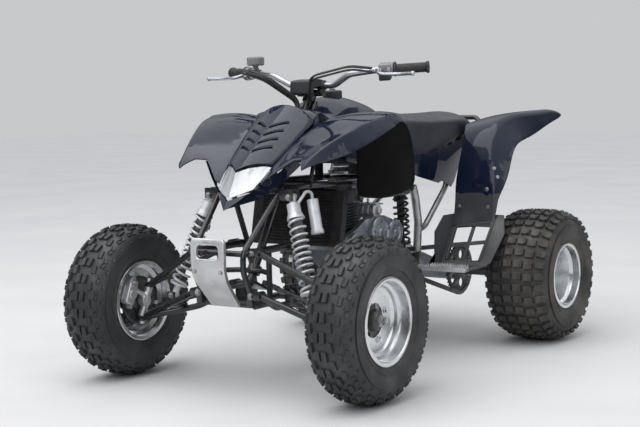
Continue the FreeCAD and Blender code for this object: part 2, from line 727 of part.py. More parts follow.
def damper(foot, head, body_r, seat_low, seat_high, collar_r):
    """Damper: eyes, shaft, body and the two spring collars, with distances from the foot."""
    axis = (head - foot).normalize()

    def at(distance):
        return foot + axis * distance

    long = (head - foot).Length
    across = V(0, 1, 0) if abs(axis.x) > 0.01 else V(1, 0, 0)
    pieces = [rod(foot - across * EYE, foot + across * EYE, 11),
              rod(head - across * EYE, head + across * EYE, 11),
              rod(foot, at(seat_low), 11), rod(at(seat_low - 7), at(seat_low), collar_r),
              rod(at(seat_low), at(long * 0.55), 8), rod(at(long * 0.5), at(seat_high), body_r * 0.9),
              Part.makeCone(collar_r, body_r, 22, at(seat_high), axis),
              rod(at(seat_high + 22), at(long - 24), body_r), rod(at(long - 25), head, 11)]
    solid = joined(pieces)
    for end in (foot, head):
        solid = solid.cut(rod(end - across * 30, end + across * 30, size("pin_r") + size("run_gap")))
    return solid, at


def front_shocks():
    foot, head = shock_ends()
    body, at = damper(foot, head, 22, 44, 286, 30)
    low, high = V(234, -547, 503), V(207, -534, 611)
    down = (low - high).normalize()
    hose = tube([tuple(at(320)), (196, -552, 640), (206, -536, 634), tuple(high)], 5, 12)
    solid = joined([body, rod(low, high, 18.5), rod(low - down * 14, low, 21), hose])
    node(feature("front_dampers", Part.makeCompound(both_sides(solid))))
    spring = coil(at(44 + GAP), at(286 - GAP), 26, 4, 8)
    node(feature("front_springs", Part.makeCompound(both_sides(spring))))


# Steering

def stem_points():
    foot = V(0, size("stem_foot_y"), size("stem_foot_z"))
    head = V(0, size("stem_top_y"), size("stem_top_z"))
    return foot, head, (head - foot).normalize()


def steering():
    foot, head, axis = stem_points()
    down = V(0, axis.z, -axis.y)
    end = foot + down * size("pitman_long")
    half = size("pitman_half")
    pieces = [rod(foot - axis * 20, head, size("stem_r")), rod(foot - axis * 10, foot + axis * 4, 22)]
    wide = V(half + 11, 0, 0)
    corners = [foot - V(20, 0, 0), end - wide, end - wide + down * 9, end + wide + down * 9, end + wide,
               foot + V(20, 0, 0), foot - V(20, 0, 0)]
    plate = Part.Face(Part.makePolygon(corners))
    pieces.append(plate.extrude(axis * -8))
    saddle_r = size("bar_r") + size("saddle_wall")
    clamp = head + axis * size("clamp_r")
    pieces += [rod(clamp - V(52, 0, 0), clamp + V(52, 0, 0), size("clamp_r")), rod(head - axis * 22, clamp, 22)]
    node(feature("steering_stem", joined(pieces)))
    rise = clamp + axis * (size("clamp_r") + saddle_r + GAP)
    bar = bar_run(rise)
    solid = tube(bar, size("bar_r"), 60)
    end, way = bar_end(bar)
    bore = rod(end - way, end + way * size("bar_bore_long"), size("bar_bore_r"))
    node(feature("handlebar", solid.cut(bore).cut(mirrored(bore))))
    void = tube(bar, size("bar_r") + GAP, 60)
    saddles = [rod(rise + V(x - 13, 0, 0), rise + V(x + 13, 0, 0), saddle_r).cut(void) for x in (-36, 36)]
    y, z = rise.y, rise.z
    pad = ((0, y - 80, z - 28), (0, y - 64, z - 34), (0, y - 58, z - 6), (0, y - 22, z - 4), (0, y + 22, z - 4),
           (0, y + 18, z + 17), (0, y - 26, z + 23), (0, y - 76, z + 18))
    cover = Part.Face(rounded(pad, 7)).extrude(V(88, 0, 0))
    cover = moved(cover, -44, 0, 0).cut(void)
    room = rod(rise - V(50, 0, 0), rise - V(22, 0, 0), saddle_r + GAP)
    cover = cover.cut(room).cut(mirrored(room))
    node(feature("bar_clamps", Part.makeCompound(saddles + [biggest(cover)])))
    grips_and_controls(bar)
    return rise


def bar_end(bar):
    """Left end of the bar and the direction from there inward."""
    return V(*bar[0]), (V(*bar[1]) - V(*bar[0])).normalize()


def bar_run(rise):
    points = [(409, -134, 1029), (242, -208, 1022), (158, -226, 1012), (88, rise.y, rise.z)]
    return points + [(-x, y, z) for x, y, z in points[::-1]]


def grips_and_controls(bar):
    """Grips, lever perches with levers, switch housing, throttle housing and brake reservoir."""
    end, way = bar_end(bar)
    void = tube(bar, size("bar_r") + GAP, 60)
    mouth = rod(end - way * 10, end, size("bar_bore_r") + GAP)

    def at(distance):
        return end + way * distance

    grip = joined([rod(at(-6), at(112), size("grip_r")), rod(at(105), at(112), 25), rod(at(-6), at(3), 20)])
    grip = grip.cut(void).cut(mouth)
    perch = at(150)
    root = perch + V(6, -36, -3)
    holder = joined([rod(at(140), at(160), 18), rod(perch, root, 8),
                     rod(root - V(0, 0, 8), root + V(0, 0, 8), 11)])
    holder = holder.cut(void)
    tip = V(425, -258, 1008)
    lever = joined([tube([tuple(root), (300, root.y - 40, 1008), (360, -244, 1007), tuple(tip)], 6, 60),
                    Part.makeSphere(8, tip)])
    lever = biggest(lever.cut(rod(root - V(0, 0, 20), root + V(0, 0, 20), 11 + GAP)))
    gather_shapes("grips", both_sides(grip))
    gather_shapes("hand_levers", both_sides(lever) + both_sides(holder))
    shift = V(0, -20, -4)
    high = V(0, 6, 14)
    switch = joined([rod(at(113), at(136), 21), rod(at(113) + shift, at(125) + shift, 13),
                     rod(at(116) + high, at(130) + high, 10)])
    throttle = joined([rod(at(113), at(136), 23), rod(at(113) + shift, at(122) + shift, 15)])
    box = block((204, -258, 1050), (256, -214, 1082))
    box = box.makeFillet(7, box.Edges)
    body = joined([box, rod(V(232, -236, 1051), at(184), 9), rod(at(172), at(192), 17)])
    gather_shapes("bar_housings", [switch.cut(void), mirrored(throttle.cut(void)), mirrored(body.cut(void))])


def gather_shapes(label, shapes):
    return node(feature(label, Part.makeCompound(shapes)))


def cables():
    """Control cables from the lever perches forward, then down beside the stem into the tank's tunnel."""
    foot, head, axis = stem_points()
    runs = []
    for side, spread, out in ((1, 1.0, 19), (-1, 1.0, 19), (-1, 0.86, 9)):
        low = foot + axis * ((780 - foot.z) / axis.z)
        entry = foot + axis * ((905 - foot.z) / axis.z)
        drop = V(side * out, -14 if out > 10 else -21, 6)
        start = V(side * 254 * spread, -239 if spread == 1 else -252, 1018)
        runs.append(tube([tuple(start), (side * 226 * spread, -330, 1026), (side * 96 * spread, -366, 996),
                          tuple(entry + drop), tuple(low + drop)], 3.5, 46))
    gather_shapes("control_cables", runs)


# Knuckles and tie rods

def knuckles():
    """Knuckle with kingpin bosses, spindle, steering arm and the brake caliper over the disc."""
    upper, lower = balls()
    king = kingpin()
    hub = V(0, FRONT_Y, size("front_tyre_r"))
    axle_x = size("front_plane")
    middle = V(upper.x + 6, hub.y, hub.z)
    outer = V(size("tie_outer_x"), size("tie_outer_y"), size("tie_outer_z"))
    pieces = [rod(lower + king * 6, lower + king * 26, 14), rod(upper - king * 26, upper - king * 6, 13),
              tube([tuple(lower + king * 16), tuple(middle), tuple(upper - king * 16)], 12, 60),
              rod(middle - V(6, 0, 0), V(axle_x - 60, hub.y, hub.z), 20),
              rod(middle, V(axle_x + 26, hub.y, hub.z), size("spindle_r")),
              rod(lower + king * 16, outer - king * 15, 8), rod(outer - king * 21, outer - king * 6.3, 12)]
    solid = joined(pieces).cut(rod(lower, lower + king * 21, 6 + size("run_gap")))
    solid = solid.cut(rod(upper, upper - king * 21, 6 + size("run_gap")))
    solid = solid.cut(rod(outer, outer - king * 30, 5 + size("run_gap")))
    x = axle_x + size("front_disc_x")
    claw = block((x - 24, hub.y - 84, hub.z + 30), (x + 20, hub.y - 30, hub.z + 88))
    claw = claw.makeFillet(8, claw.Edges)
    claw = claw.cut(Part.makeCylinder(58, 100, V(x - 50, hub.y, hub.z), V(1, 0, 0)))
    claw = claw.common(Part.makeCylinder(96, 100, V(x - 50, hub.y, hub.z), V(1, 0, 0)))
    half_t = size("disc_t") / 2 + 1.5
    room = rod(V(x - half_t, hub.y, hub.z), V(x + half_t, hub.y, hub.z), size("front_disc_r") + 2.5)
    claw = claw.cut(room)
    bracket = rod(V(x - 18, hub.y - 44, hub.z + 44), V(middle.x + 2, hub.y - 6, hub.z + 18), 8)
    solid = joined([solid, claw, bracket])
    for side_name, side in SIDES:
        node(feature("knuckle_" + side_name, solid if side > 0 else mirrored(solid)))


def tie_rods():
    """Tie rods from the steering arms to the pitman plate, open at the plate."""
    foot, head, axis = stem_points()
    king = kingpin()
    inner = foot + V(0, axis.z, -axis.y) * size("pitman_long") + V(size("pitman_half"), 0, 0) + axis * 12
    outer = V(size("tie_outer_x"), size("tie_outer_y"), size("tie_outer_z"))
    way = (outer - inner).normalize()
    solid = joined([rod(inner, outer + king * 3, 7), rod(outer - king * 6, outer + king * 10, 11),
                    rod(outer - king * 19, outer, 5), rod(inner - axis * 7, inner + axis * 7, 10),
                    rod(inner + way * 24, inner + way * 60, 9.5)])
    for side_name, side in SIDES:
        node(feature("tie_rod_" + side_name, solid if side > 0 else mirrored(solid)))


# Rear suspension and drive

def rear_end():
    hub = V(0, REAR_Y, size("rear_tyre_r"))
    half = size("carrier_half")
    pieces = [rod(V(-half, hub.y, hub.z), V(half, hub.y, hub.z), size("carrier_r"))]
    y0, z0 = size("pivot_y"), size("pivot_z")
    for side in (1, -1):
        pieces.append(rod(V(side * 66, y0, z0), V(side * 98, y0, z0), 24))
        pieces.append(tube([(side * 82, y0, z0), (side * 80, y0 + 140, z0 - 20),
                            (side * 66, hub.y - 20, hub.z + 4)], 19, 90))
    pieces.append(rod(V(-80, y0 + 120, z0 - 18), V(80, y0 + 120, z0 - 18), 15))
    for x in (-size("lug_shift"), size("lug_shift")):
        pieces.append(block((x - size("lug_t") / 2, y0 + 105, z0 - 32),
                            (x + size("lug_t") / 2, y0 + 161, z0 + 6)))
    pieces.append(rod(V(-18, y0 + 147, z0 - 8), V(18, y0 + 147, z0 - 8), size("pin_r")))
    solid = joined(pieces)
    bore_r = size("axle_r") + size("run_gap")
    solid = solid.cut(rod(V(-half - 5, hub.y, hub.z), V(half + 5, hub.y, hub.z), bore_r))
    solid = solid.cut(rod(V(-120, y0, z0), V(120, y0, z0), 11 + GAP))
    node(feature("swingarm", solid))
    foot, head = V(0, y0 + 147, z0 - 8), V(0, 350, 590)
    body, at = damper(foot, head, 17, 40, 205, 31)
    node(feature("rear_damper", body))
    node(feature("rear_spring", coil(at(40 + GAP), at(205 - GAP), 26, 5, 6)))
    chain()
    x = -size("sprocket_x")
    claw = block((x - 22, hub.y - 92, hub.z + 40), (x + 20, hub.y - 34, hub.z + 96)).cut(
        block((x - 3.5, hub.y - 200, hub.z - 20), (x + 3.5, hub.y, hub.z + 89.5)))
    stay = block((x + 12, hub.y - 90, hub.z + 20), (x + 20, hub.y - 40, hub.z + 60))
    link = rod(V(x + 16, hub.y - 70, hub.z + 30), V(-60, hub.y - 70, hub.z + 30), 8)
    node(feature("rear_caliper", joined([claw, stay, link]).cut(solid)))


def chain():
    """Chain loop: two side bands joined by pins outside the teeth, and the output sprocket."""
    hub, out = (REAR_Y, size("rear_tyre_r")), (size("output_y"), size("output_z"))
    x, wide = size("sprocket_x"), size("chain_wide")

    def loop(radius_back, radius_front):
        points = []
        for index in range(13):
            angle = math.radians(-90 + 15 * index)
            points.append((hub[0] + radius_back * math.cos(angle), hub[1] + radius_back * math.sin(angle)))
        for index in range(7):
            angle = math.radians(90 + 30 * index)
            points.append((out[0] + radius_front * math.cos(angle), out[1] + radius_front * math.sin(angle)))
        return points

    r_back, r_front = size("sprocket_r"), 34

    def plate(low, points, thick):
        corners = [V(low, *point) for point in points]
        return Part.Face(Part.makePolygon(corners + [corners[0]])).extrude(V(thick, 0, 0))

    pieces = []
    for low in (x - 3.5 - 1.5 - wide / 2, x + 3.5 + 1.5):
        band = plate(low, loop(r_back + 9, r_front + 9), wide / 2)
        pieces.append(band.cut(plate(low, loop(r_back - 6, r_front - 6), wide / 2)))
    for y, z in loop(r_back + 6.2, r_front + 4)[::3]:
        turns = [math.radians(degrees) for degrees in range(30, 390, 60)]
        pieces.append(plate(x - 6, [(y + 2.6 * math.cos(a), z + 2.6 * math.sin(a)) for a in turns], 12))
    node(feature("chain", joined(pieces)))


# Engine

def engine():
    """Crankcase with round side covers, finned cylinder, head and output sprocket."""
    z0 = size("cradle_z") + size("frame_tube_r") + GAP
    case = new_body("engine_case")
    sketch = sketch_in(case, "YZ_Plane", "side", -92)
    lean = math.tan(math.radians(5))
    deck_front, deck_rear = [196 + (y + 95) * lean - GAP for y in (-150, -40)]
    outline(sketch, ((-205, z0 + 46), (-175, z0), (112, z0), (150, z0 + 40), (158, z0 + 92), (150, z0 + 150),
                     (110, z0 + 192), (-40, z0 + deck_rear), (-150, z0 + deck_front), (-205, z0 + 150)))
    pad(case, sketch, 184)
    cover = sketch_in(case, "YZ_Plane", "left_cover", 90)
    outline(cover, ((-232, z0 + 60), (-238, z0 + 150), (-200, z0 + 196), (-120, z0 + 222), (-70, z0 + 248),
                    (55, z0 + 252), (110, z0 + 234), (152, z0 + 212), (166, z0 + 160), (148, z0 + 138), (78, z0 + 132),
                    (70, z0 + 30), (-150, z0 + 22)))
    pad(case, cover, 22)
    for name, plane, y, z, radius, deep in (
            ("flywheel", 110, -150, z0 + 128, 80, 30), ("starter", 110, 4, z0 + 192, 58, 22),
            ("drive", 110, 108, z0 + 184, 44, 18), ("clutch", -92, -90, z0 + 95, 86, -40),
            ("gear", -92, 50, z0 + 70, 56, -20)):
        cover = sketch_in(case, "YZ_Plane", name, plane - math.copysign(2, plane))
        circle(cover, (y, z), radius)
        pad(case, cover, abs(deep) + 2, reverse=deep < 0)
    node(case)
    upright = FreeCAD.Placement(V(0, -95, z0 + 196), FreeCAD.Rotation(V(1, 0, 0), 5))
    barrel = new_body("engine_cylinder", upright)
    core = sketch_in(barrel, "XY_Plane", "core", 0)
    outline(core, ((-50, -52), (50, -52), (50, 52), (-50, 52)))
    pad(barrel, core, 170)
    fin = sketch_in(barrel, "XY_Plane", "fin", 14)
    outline(fin, ((-68, -66), (68, -66), (68, 66), (-68, 66)))
    first = pad(barrel, fin, 3.5)
    along(barrel, [first], 9, 84)
    head = sketch_in(barrel, "XY_Plane", "head", 110)
    outline(head, ((-62, -58), (-40, -66), (40, -66), (62, -58), (62, 58), (-62, 58)))
    pad(barrel, head, 46)
    cover = sketch_in(barrel, "XY_Plane", "cover", 155)
    outline(cover, ((-46, -44), (46, -44), (46, 44), (-46, 44)))
    top = pad(barrel, cover, 26)
    barrel.Tip = top
    node(barrel)
    spot = V(size("sprocket_x") - 3.2, size("output_y"), size("output_z"))
    wheel = new_body("output_sprocket", FreeCAD.Placement(spot, FreeCAD.Rotation()))
    sketch = sketch_in(wheel, "YZ_Plane", "wheel")
    circle(sketch, (0, 0), 27)
    pad(wheel, sketch, 6.4)
    shaft = sketch_in(wheel, "YZ_Plane", "shaft")
    circle(shaft, (0, 0), 13)
    pad(wheel, shaft, size("sprocket_x") - 3.2 - 92 - GAP, reverse=True)
    node(wheel)


def intake():
    """Carburettor with its bowl and boots, and the airbox under the seat."""
    throat = rod(V(0, -47.3, 583), V(0, 116.8, 592), 24)
    bowl = rod(V(0, 10, 528), V(0, 10, 575), 24)
    cap = rod(V(0, 10, 580), V(0, 10, 632), 22)
    knob = rod(V(-42, 20, 572), V(42, 20, 572), 12)
    node(feature("carburettor", joined([throat, bowl, cap, knob])))
    box = block((-82, 118.4, 560), (82, 300, 690))
    box = box.makeFillet(22, [e for e in box.Edges if abs(e.tangentAt(e.FirstParameter).y) > 0.9])
    node(feature("airbox", box))


def exhaust():
    """Header from the head's front round the right-hand side to the silencer."""
    run = ((-20, -172.6, 576), (-20, -224.6, 571.5), (-100, -252, 545), (-128, -170, 522), (-128, 50, 528),
           (-206, 210, 584.8), (-206, 318, 600))
    node(feature("exhaust_pipe", tube(run, 19, 55)))
    level = FreeCAD.Placement(V(-206, 318 + GAP, 600), FreeCAD.Rotation(V(0, 0, 1), 90))
    rise = FreeCAD.Placement(V(0, 0, 0), FreeCAD.Rotation(V(0, 1, 0), -8))
    body = new_body("muffler", level.multiply(rise))
    revolve(body, ((0, 0), (0, 24), (14, 46), (26, 50), (330, 50), (342, 46), (346, 30), (380, 22), (380, 16),
                   (346, 16), (346, 0)))
    node(body)


def radiator():
    """Radiator core with side tanks behind the steering stem."""
    body = new_body("radiator", FreeCAD.Placement(V(0, -326, 432), FreeCAD.Rotation(V(1, 0, 0), -12)))
    sketch = sketch_in(body, "XZ_Plane", "frame")
    outline(sketch, ((-186, 0), (186, 0), (186, 189), (-186, 189)))
    pad(body, sketch, 26)
    slot = sketch_in(body, "XZ_Plane", "slot", 27)
    outline(slot, ((-146, 12), (146, 12), (146, 17), (-146, 17)))
    cut = pocket(body, slot, 7)
    along(body, [cut], 16, 159)
    node(body)


# Bodywork

def strip(y, z, tilt, corners, wall, blend):
    """Section wire of a panel: an arc A, M, B, a rounded turn, a straight lip to C, and the wall beneath."""
    lean = math.radians(tilt)
    normal = V(0, -math.sin(lean), math.cos(lean))
    base = V(0, y, z)
    a, m, b, c = [base + V(x, 0, 0) + normal * n for x, n in corners]
    reach = min(blend, (c - b).Length * 0.4)
    near, far = b + (m - b).normalize() * reach, b + (c - b).normalize() * reach
    turn = (near + b * 2 + far) * 0.25
    down, side = normal * -wall, V(-wall, 0, 0)
    a2, m2, near2, far2, c2 = a + down, m + down, near + down, far + side, c + side
    turn2 = turn + (down + side) * 0.75
    return Part.Wire([arc(a, m, near), arc(near, turn, far), line(far, c), line(c, c2), line(c2, far2),
                      arc(far2, turn2, near2), arc(near2, m2, a2), line(a2, a)])


def arch(y, z, half, crown, skirt_x, skirt_drop, wall):
    """Section wire of a symmetric crowned panel with two skirts."""

    def spot(x, drop):
        return V(x, y, z + drop)

    low, skirt = -crown, -crown - skirt_drop
    outer = [spot(-skirt_x, skirt), spot(-half, low), spot(0, 0), spot(half, low), spot(skirt_x, skirt)]
    inner = [spot(-skirt_x + wall, skirt), spot(-half + wall, low - wall * 0.7), spot(0, -wall),
             spot(half - wall, low - wall * 0.7), spot(skirt_x - wall, skirt)]
    return Part.Wire([line(outer[0], outer[1]), arc(outer[1], outer[2], outer[3]), line(outer[3], outer[4]),
                      line(outer[4], inner[4]), line(inner[4], inner[3]), arc(inner[3], inner[2], inner[1]),
                      line(inner[1], inner[0]), line(inner[0], outer[0])])


def hull(y, z, half, crown, belly_half, belly_z):
    """Closed section wire of a solid body with a crowned top, flat sides and a flat belly."""

    def spot(x, height):
        return V(x, y, height)

    return Part.Wire([line(spot(-belly_half, belly_z), spot(-half, z - crown)),
                      arc(spot(-half, z - crown), spot(0, z), spot(half, z - crown)),
                      line(spot(half, z - crown), spot(belly_half, belly_z)),
                      line(spot(belly_half, belly_z), spot(-belly_half, belly_z))])


def hood():
    """Crowned hood between the lamp and the bars, its front edge a V, with four pairs of slanted louvres."""
    sections = [arch(y, z, half, crown, half + 1, 6, WALL) for y, z, half, crown in (
        (-674, 706, 70, 30), (-584, 769, 88, 42), (-520, 818, 100, 48), (-462, 862, 110, 50), (-392, 914, 120, 54))]
    panel = Part.makeLoft(sections, True, False)
    corners = ((0, -666), (88, -588), (140, -588), (140, -740), (-140, -740), (-140, -588), (-88, -588),
               (0, -666))
    front = Part.Face(Part.makePolygon([V(x, y, 600) for x, y in corners])).extrude(V(0, 0, 250))
    panel = panel.cut(front)
    for index in range(4):
        y, z = -556 + 32 * index, 706 + 27 * index
        for side in (1, -1):
            slot = Part.makeBox(68, 8, 160, V(12, 0, 0))
            slot.rotate(V(0, 0, 0), V(0, 0, 1), 34)
            slot.translate(V(0, y - 40, z))
            panel = panel.cut(slot if side > 0 else mirrored(slot))
    node(feature("hood", panel))


def nose():
    """Chin cowl under the lamp, swept back to both sides."""
    sections = []
    for x, ty, tz, by, bz in ((-178, -596, 736, -552, 722), (-120, -640, 684, -617, 646),
                              (-70, -673, 643, -640, 615), (0, -715, 614, -733, 584), (70, -673, 643, -640, 615),
                              (120, -640, 684, -617, 646), (178, -596, 736, -552, 722)):
        top, bottom = V(x, ty, tz), V(x, by, bz)
        inner_top, inner_bottom = top + V(0, 8, -1), bottom + V(0, 8, 4)
        sections.append(Part.makePolygon([top, bottom, inner_bottom, inner_top, top]))
    return node(feature("nose_cowl", Part.makeLoft(sections, True, True))).Shape


def headlight():
    """Shield-shaped lens with a notched top, and the lamp bowl behind it."""
    half_rows = ((86, -592, 717, -612, 700), (69, -607, 720, -669, 650), (35, -638, 716, -692, 635))
    centre = ((0, -668, 702, -710, 622),)

    def shield(push, thick):
        rows = []
        for x, ty, tz, by, bz in tuple((-row[0],) + row[1:] for row in half_rows) + centre + half_rows[::-1]:
            top, bottom = V(x, ty + push, tz), V(x, by + push, bz)
            rows.append(Part.makePolygon([top, bottom, bottom + V(0, thick, 0), top + V(0, thick, 0), top]))
        return Part.makeLoft(rows, True, True)
    node(feature("headlight", shield(0, 4)))
    return node(feature("lamp_bowl", shield(4 + GAP, 18))).Shape


def front_fenders():
    """Front fender: from the hood seam out to the ridge, a leaf-shaped lip, and the guard behind the wheel."""
    rows = (
        (-648, ((80, 668), (160, 696), (248, 716), (250, 712))),
        (-585, ((92.5, 722), (182, 743), (272, 772), (292, 736))),
        (-500, ((108, 783), (206, 798), (308, 818), (332, 758))),
        (-420, ((124, 833), (230, 846), (342, 850), (376, 798))),
        (-330, ((136, 862), (252, 874), (372, 872), (398, 838))),
    )
    sections = [strip(y, 0, 0, corners, WALL, 7) for y, corners in rows]
    top = Part.makeLoft(sections, True, False)
    edge = ((60, -669), (86, -656), (120, -632), (178, -588), (214, -602), (246, -650), (260, -720), (60, -720),
            (60, -669))
    trim = Part.Face(Part.makePolygon([V(x, y, 600) for x, y in edge])).extrude(V(0, 0, 200))
    top = top.cut(trim)
    back = [strip(y, z, tilt, corners, WALL, 7) for y, z, tilt, corners in (
        (-330, 0, 0, ((136, 862), (252, 874), (372, 872), (398, 838))),
        (-268, 862, -30, ((142, -6), (255, 14), (380, 8), (402, -16))),
        (-226, 800, -68, ((162, 0), (268, 12), (388, 8), (404, -12))),
        (-206, 700, -84, ((171, 0), (275, 8), (388, 6), (402, -10))),
        (-204, 584, -90, ((175, 0), (278, 6), (386, 4), (400, -10))))]
    rear = Part.makeLoft(back, True, False)
    low = ((140, 606), (176, 596), (230, 590), (285, 596), (345, 612), (384, 632), (402, 660), (430, 660),
           (430, 560), (140, 560), (140, 606))
    rear = rear.cut(Part.Face(Part.makePolygon([V(x, -260, z) for x, z in low])).extrude(V(0, 120, 0)))
    solid = biggest(joined([top, rear]))
    node(feature("front_fenders", Part.makeCompound(both_sides(solid))))
    return solid


def tank():
    """Tank cover with a tunnel for the steering stem."""
    sections = [hull(*row) for row in (
        (-391.7, 884, 119, 22, 130, 800), (-300, 886, 121, 20, 142, 744), (-240, 905, 121, 26, 146, 718),
        (-180, 930, 118, 34, 148, 706), (-130, 937, 112, 40, 148, 702), (0, 920, 105, 40, 144, 702),
        (80, 890, 92, 34, 126, 716), (139.7, 862, 78, 30, 100, 740))]
    body = Part.makeLoft(sections, True, False)
    foot, head, axis = stem_points()
    body = body.cut(rod(foot, head + axis * 60, 36))
    cap = rod(V(0, -96, 925), V(0, -96, 960), 34 + GAP)
    solid = body.cut(cap)
    node(feature("tank_cover", solid))
    lid = new_body("fuel_cap", FreeCAD.Placement(V(0, -96, 926), FreeCAD.Rotation(V(0, 1, 0), -90)))
    revolve(lid, ((0, 0), (0, 34), (28, 34), (32, 30), (32, 12), (38, 8), (38, 0)))
    node(lid)
    return solid


def seat():
    """Saddle: narrow at the tank, full in the middle, cut short behind."""
    top = size("seat_top_z")
    sections = [hull(*row) for row in (
        (size("seat_front_y"), top - 6, 84, 26, 98, 790), (230, top, 108, 26, 128, 712),
        (330, top - 2, 122, 30, 134, 694), (480, top - 4, 116, 32, 122, 726), (600, top - 2, 110, 34, 114, 754),
        (730, top - 10, 100, 34, 104, 792),
        (size("seat_rear_y"), top - 22, 88, 30, 92, 806))]
    return node(feature("seat", Part.makeLoft(sections, True, False))).Shape


def rear_fender():
    """Rear fenders swept up and out to a tip, joined by the deck under the seat, with grab bar and lamp."""
    sheet_lean = math.degrees(math.atan2(179, 119))
    off = WALL + GAP
    nx, nz = -math.sin(math.radians(sheet_lean)), math.cos(math.radians(sheet_lean))
    lap = [strip(y + off * nx, z + off * nz, sheet_lean, ((205, 0), (290, 0.6), (366, 0), (376, -2)), WALL, 3)
           for y, z in ((389.1, 439), (405.7, 464))]
    lap.append(strip(414, 540, 58, ((207, 2), (286, 3), (366, 3), (384, -5)), WALL, 6))
    rows = (
        (428, 600, 50, ((198, -8), (286, 8), (364, 12), (396, -20))),
        (456, 690, 36, ((202, -6), (280, 18), (346, 22), (402, -44))),
        (505, 770, 18, ((200, 8), (268, 28), (334, 34), (402, -52))),
        (570, 800, 4, ((172, 12), (250, 30), (350, 46), (402, -52))),
        (660, 812, 0, ((136, 4), (250, 34), (378, 48), (404, -46))),
        (760, 820, 0, ((130, 0), (268, 32), (392, 44), (408, -26))),
        (850, 828, 0, ((214, -2), (310, 26), (400, 36), (411, -10))),
        (912, 836, 0, ((330, 0), (372, 10), (409, 10), (414, 2))),
    )
    sections = [lap[2]] + [strip(y, z, tilt, corners, WALL, 24) for y, z, tilt, corners in rows]
    left = joined([Part.makeLoft(lap, True, True), Part.makeLoft(sections, True, False)])
    start, way = V(-206, 290, 596), V(0, math.cos(math.radians(8)), math.sin(math.radians(8)))
    right = mirrored(left).cut(rod(start, start + way * 460, 62))
    rise, rail_x = (764 - 715) / (745 - 560), size("rail_x")
    lift = 12 / math.cos(math.atan(rise)) + GAP
    trays = []
    for y in (640, 776):
        z = 715 + (y - 560) * rise + lift
        top = 816 + (y - 640) * 0.04
        low, high = rail_x + 12, 139
        corners = ((-high, top), (-low, z), (low, z), (high, top), (high - WALL, top), (low - WALL, z + WALL),
                   (WALL - low, z + WALL), (WALL - high, top), (-high, top))
        trays.append(Part.makePolygon([V(x, y, level) for x, level in corners]))
    tray = Part.makeLoft(trays, True, True)
    node(feature("rear_fenders", biggest(joined([left, biggest(right), tray]))))
    ahead = V(-4, 185, 49).normalize()
    begin = V(rail_x - 4, 745, 764) + ahead * GAP
    run = [tuple(begin), tuple(begin + ahead * 62), (84, 836, 834)]
    bar = tube(run + [(-x, y, z) for x, y, z in run[::-1]], 10, 34)
    node(feature("grab_bar", bar))
    lamp = block((-58, 780, 758), (58, 806, 800))
    node(feature("tail_light", lamp.makeFillet(5, lamp.Edges)))


def heel_guards():
    """Bent sheets with four windows, from a floor behind each peg up in front of the rear tyre."""
    guards = []
    y0 = 186 + GAP
    for side_name, side in SIDES:
        body = new_body("heel_guard_" + side_name)
        sketch = sketch_in(body, "YZ_Plane", "bend", side * 204)
        outline(sketch, ((y0, 300), (302, 300), (424, 480), (419, 484), (300, 305), (y0, 305)))
        pad(body, sketch, 224, reverse=side < 0)
        wall = sketch_in(body, "YZ_Plane", "wall", side * 200)
        outline(wall, ((256, 302), (303, 302), (421, 481), (421, 484), (330, 484), (262, 430)))
        pad(body, wall, 5, reverse=side < 0)
        cut = None
        for name, corners in (("low_in", ((226, 318), (284, 320), (286, 372), (226, 366))),
                              ("low_out", ((297, 320), (352, 324), (358, 380), (299, 373))),
                              ("high_in", ((226, 380), (287, 386), (289, 438), (226, 432))),
                              ("high_out", ((300, 387), (359, 394), (364, 448), (302, 440))),
                              ("corner_low", ((364, 290), (432, 290), (432, 430), (406, 318))),
                              ("corner_high", ((432, 412), (432, 500), (398, 500)))):
            window = sketch_in(body, "XZ_Plane", name, -150)
            outline(window, tuple((side * x, z) for x, z in corners))
            cut = pocket(body, window, 400)
        floor = sketch_in(body, "XY_Plane", "floor", 310)
        outline(floor, tuple((side * x, y) for x, y in ((226, 204), (350, 204), (350, 284), (226, 284))))
        cut = pocket(body, floor, 14)
        body.Tip = cut
        guards.append(body)
    gather("heel_guards", guards)


def footpegs():
    """Serrated pegs on their brackets."""
    pieces = []
    for side in (1, -1):
        bar = block((min(side * 172, side * 384), 148, 300), (max(side * 172, side * 384), 186, 316))
        for index in range(9):
            x = side * (206 + 21 * index)
            bar = bar.cut(block((x - 5, 156, 290), (x + 5, 178, 320)))
        arm_solid = rod(V(side * (size("frame_half") + 4 + GAP), 167, 306), V(side * 176, 167, 306), 13)
        pieces.append(joined([bar, arm_solid]))
    node(feature("footpegs", Part.makeCompound(pieces)))


def bumper():
    """Cast front plate: upright above, swept back below, rounded, with a slot."""
    side = ((-824, 494), (-818, 508), (-809.3, 502), (-809.3, 388), (-729, 288), (-726, 278), (-737, 278),
            (-824, 382))
    plate = Part.Face(rounded([(-70, y, z) for y, z in side], 110)).extrude(V(140, 0, 0))
    front = ((-68, -900, 510), (68, -900, 510), (66, -900, 386), (56, -900, 272), (-56, -900, 272),
             (-66, -900, 386))
    plate = plate.common(Part.Face(rounded(front, 22)).extrude(V(0, 240, 0)))
    slot = ((-45, -900, 440), (45, -900, 440), (42, -900, 484), (-42, -900, 484))
    plate = plate.cut(Part.Face(rounded(slot, 13)).extrude(V(0, 240, 0)))
    node(feature("front_bumper", plate))


hood()
nose_solid = nose()
lamp_solid = headlight()
fender_solid = front_fenders()
tank_solid = tank()
seat_solid = seat()
rear_fender()
frame(lamp_solid, nose_solid, tank_solid, fender_solid)
pivot_uprights()
subframe(seat_solid)
side_covers()
arms()
front_shocks()
steering()
cables()
knuckles()
tie_rods()
rear_end()
engine()
intake()
exhaust()
radiator()
heel_guards()
footpegs()
bumper()

# Checks and export

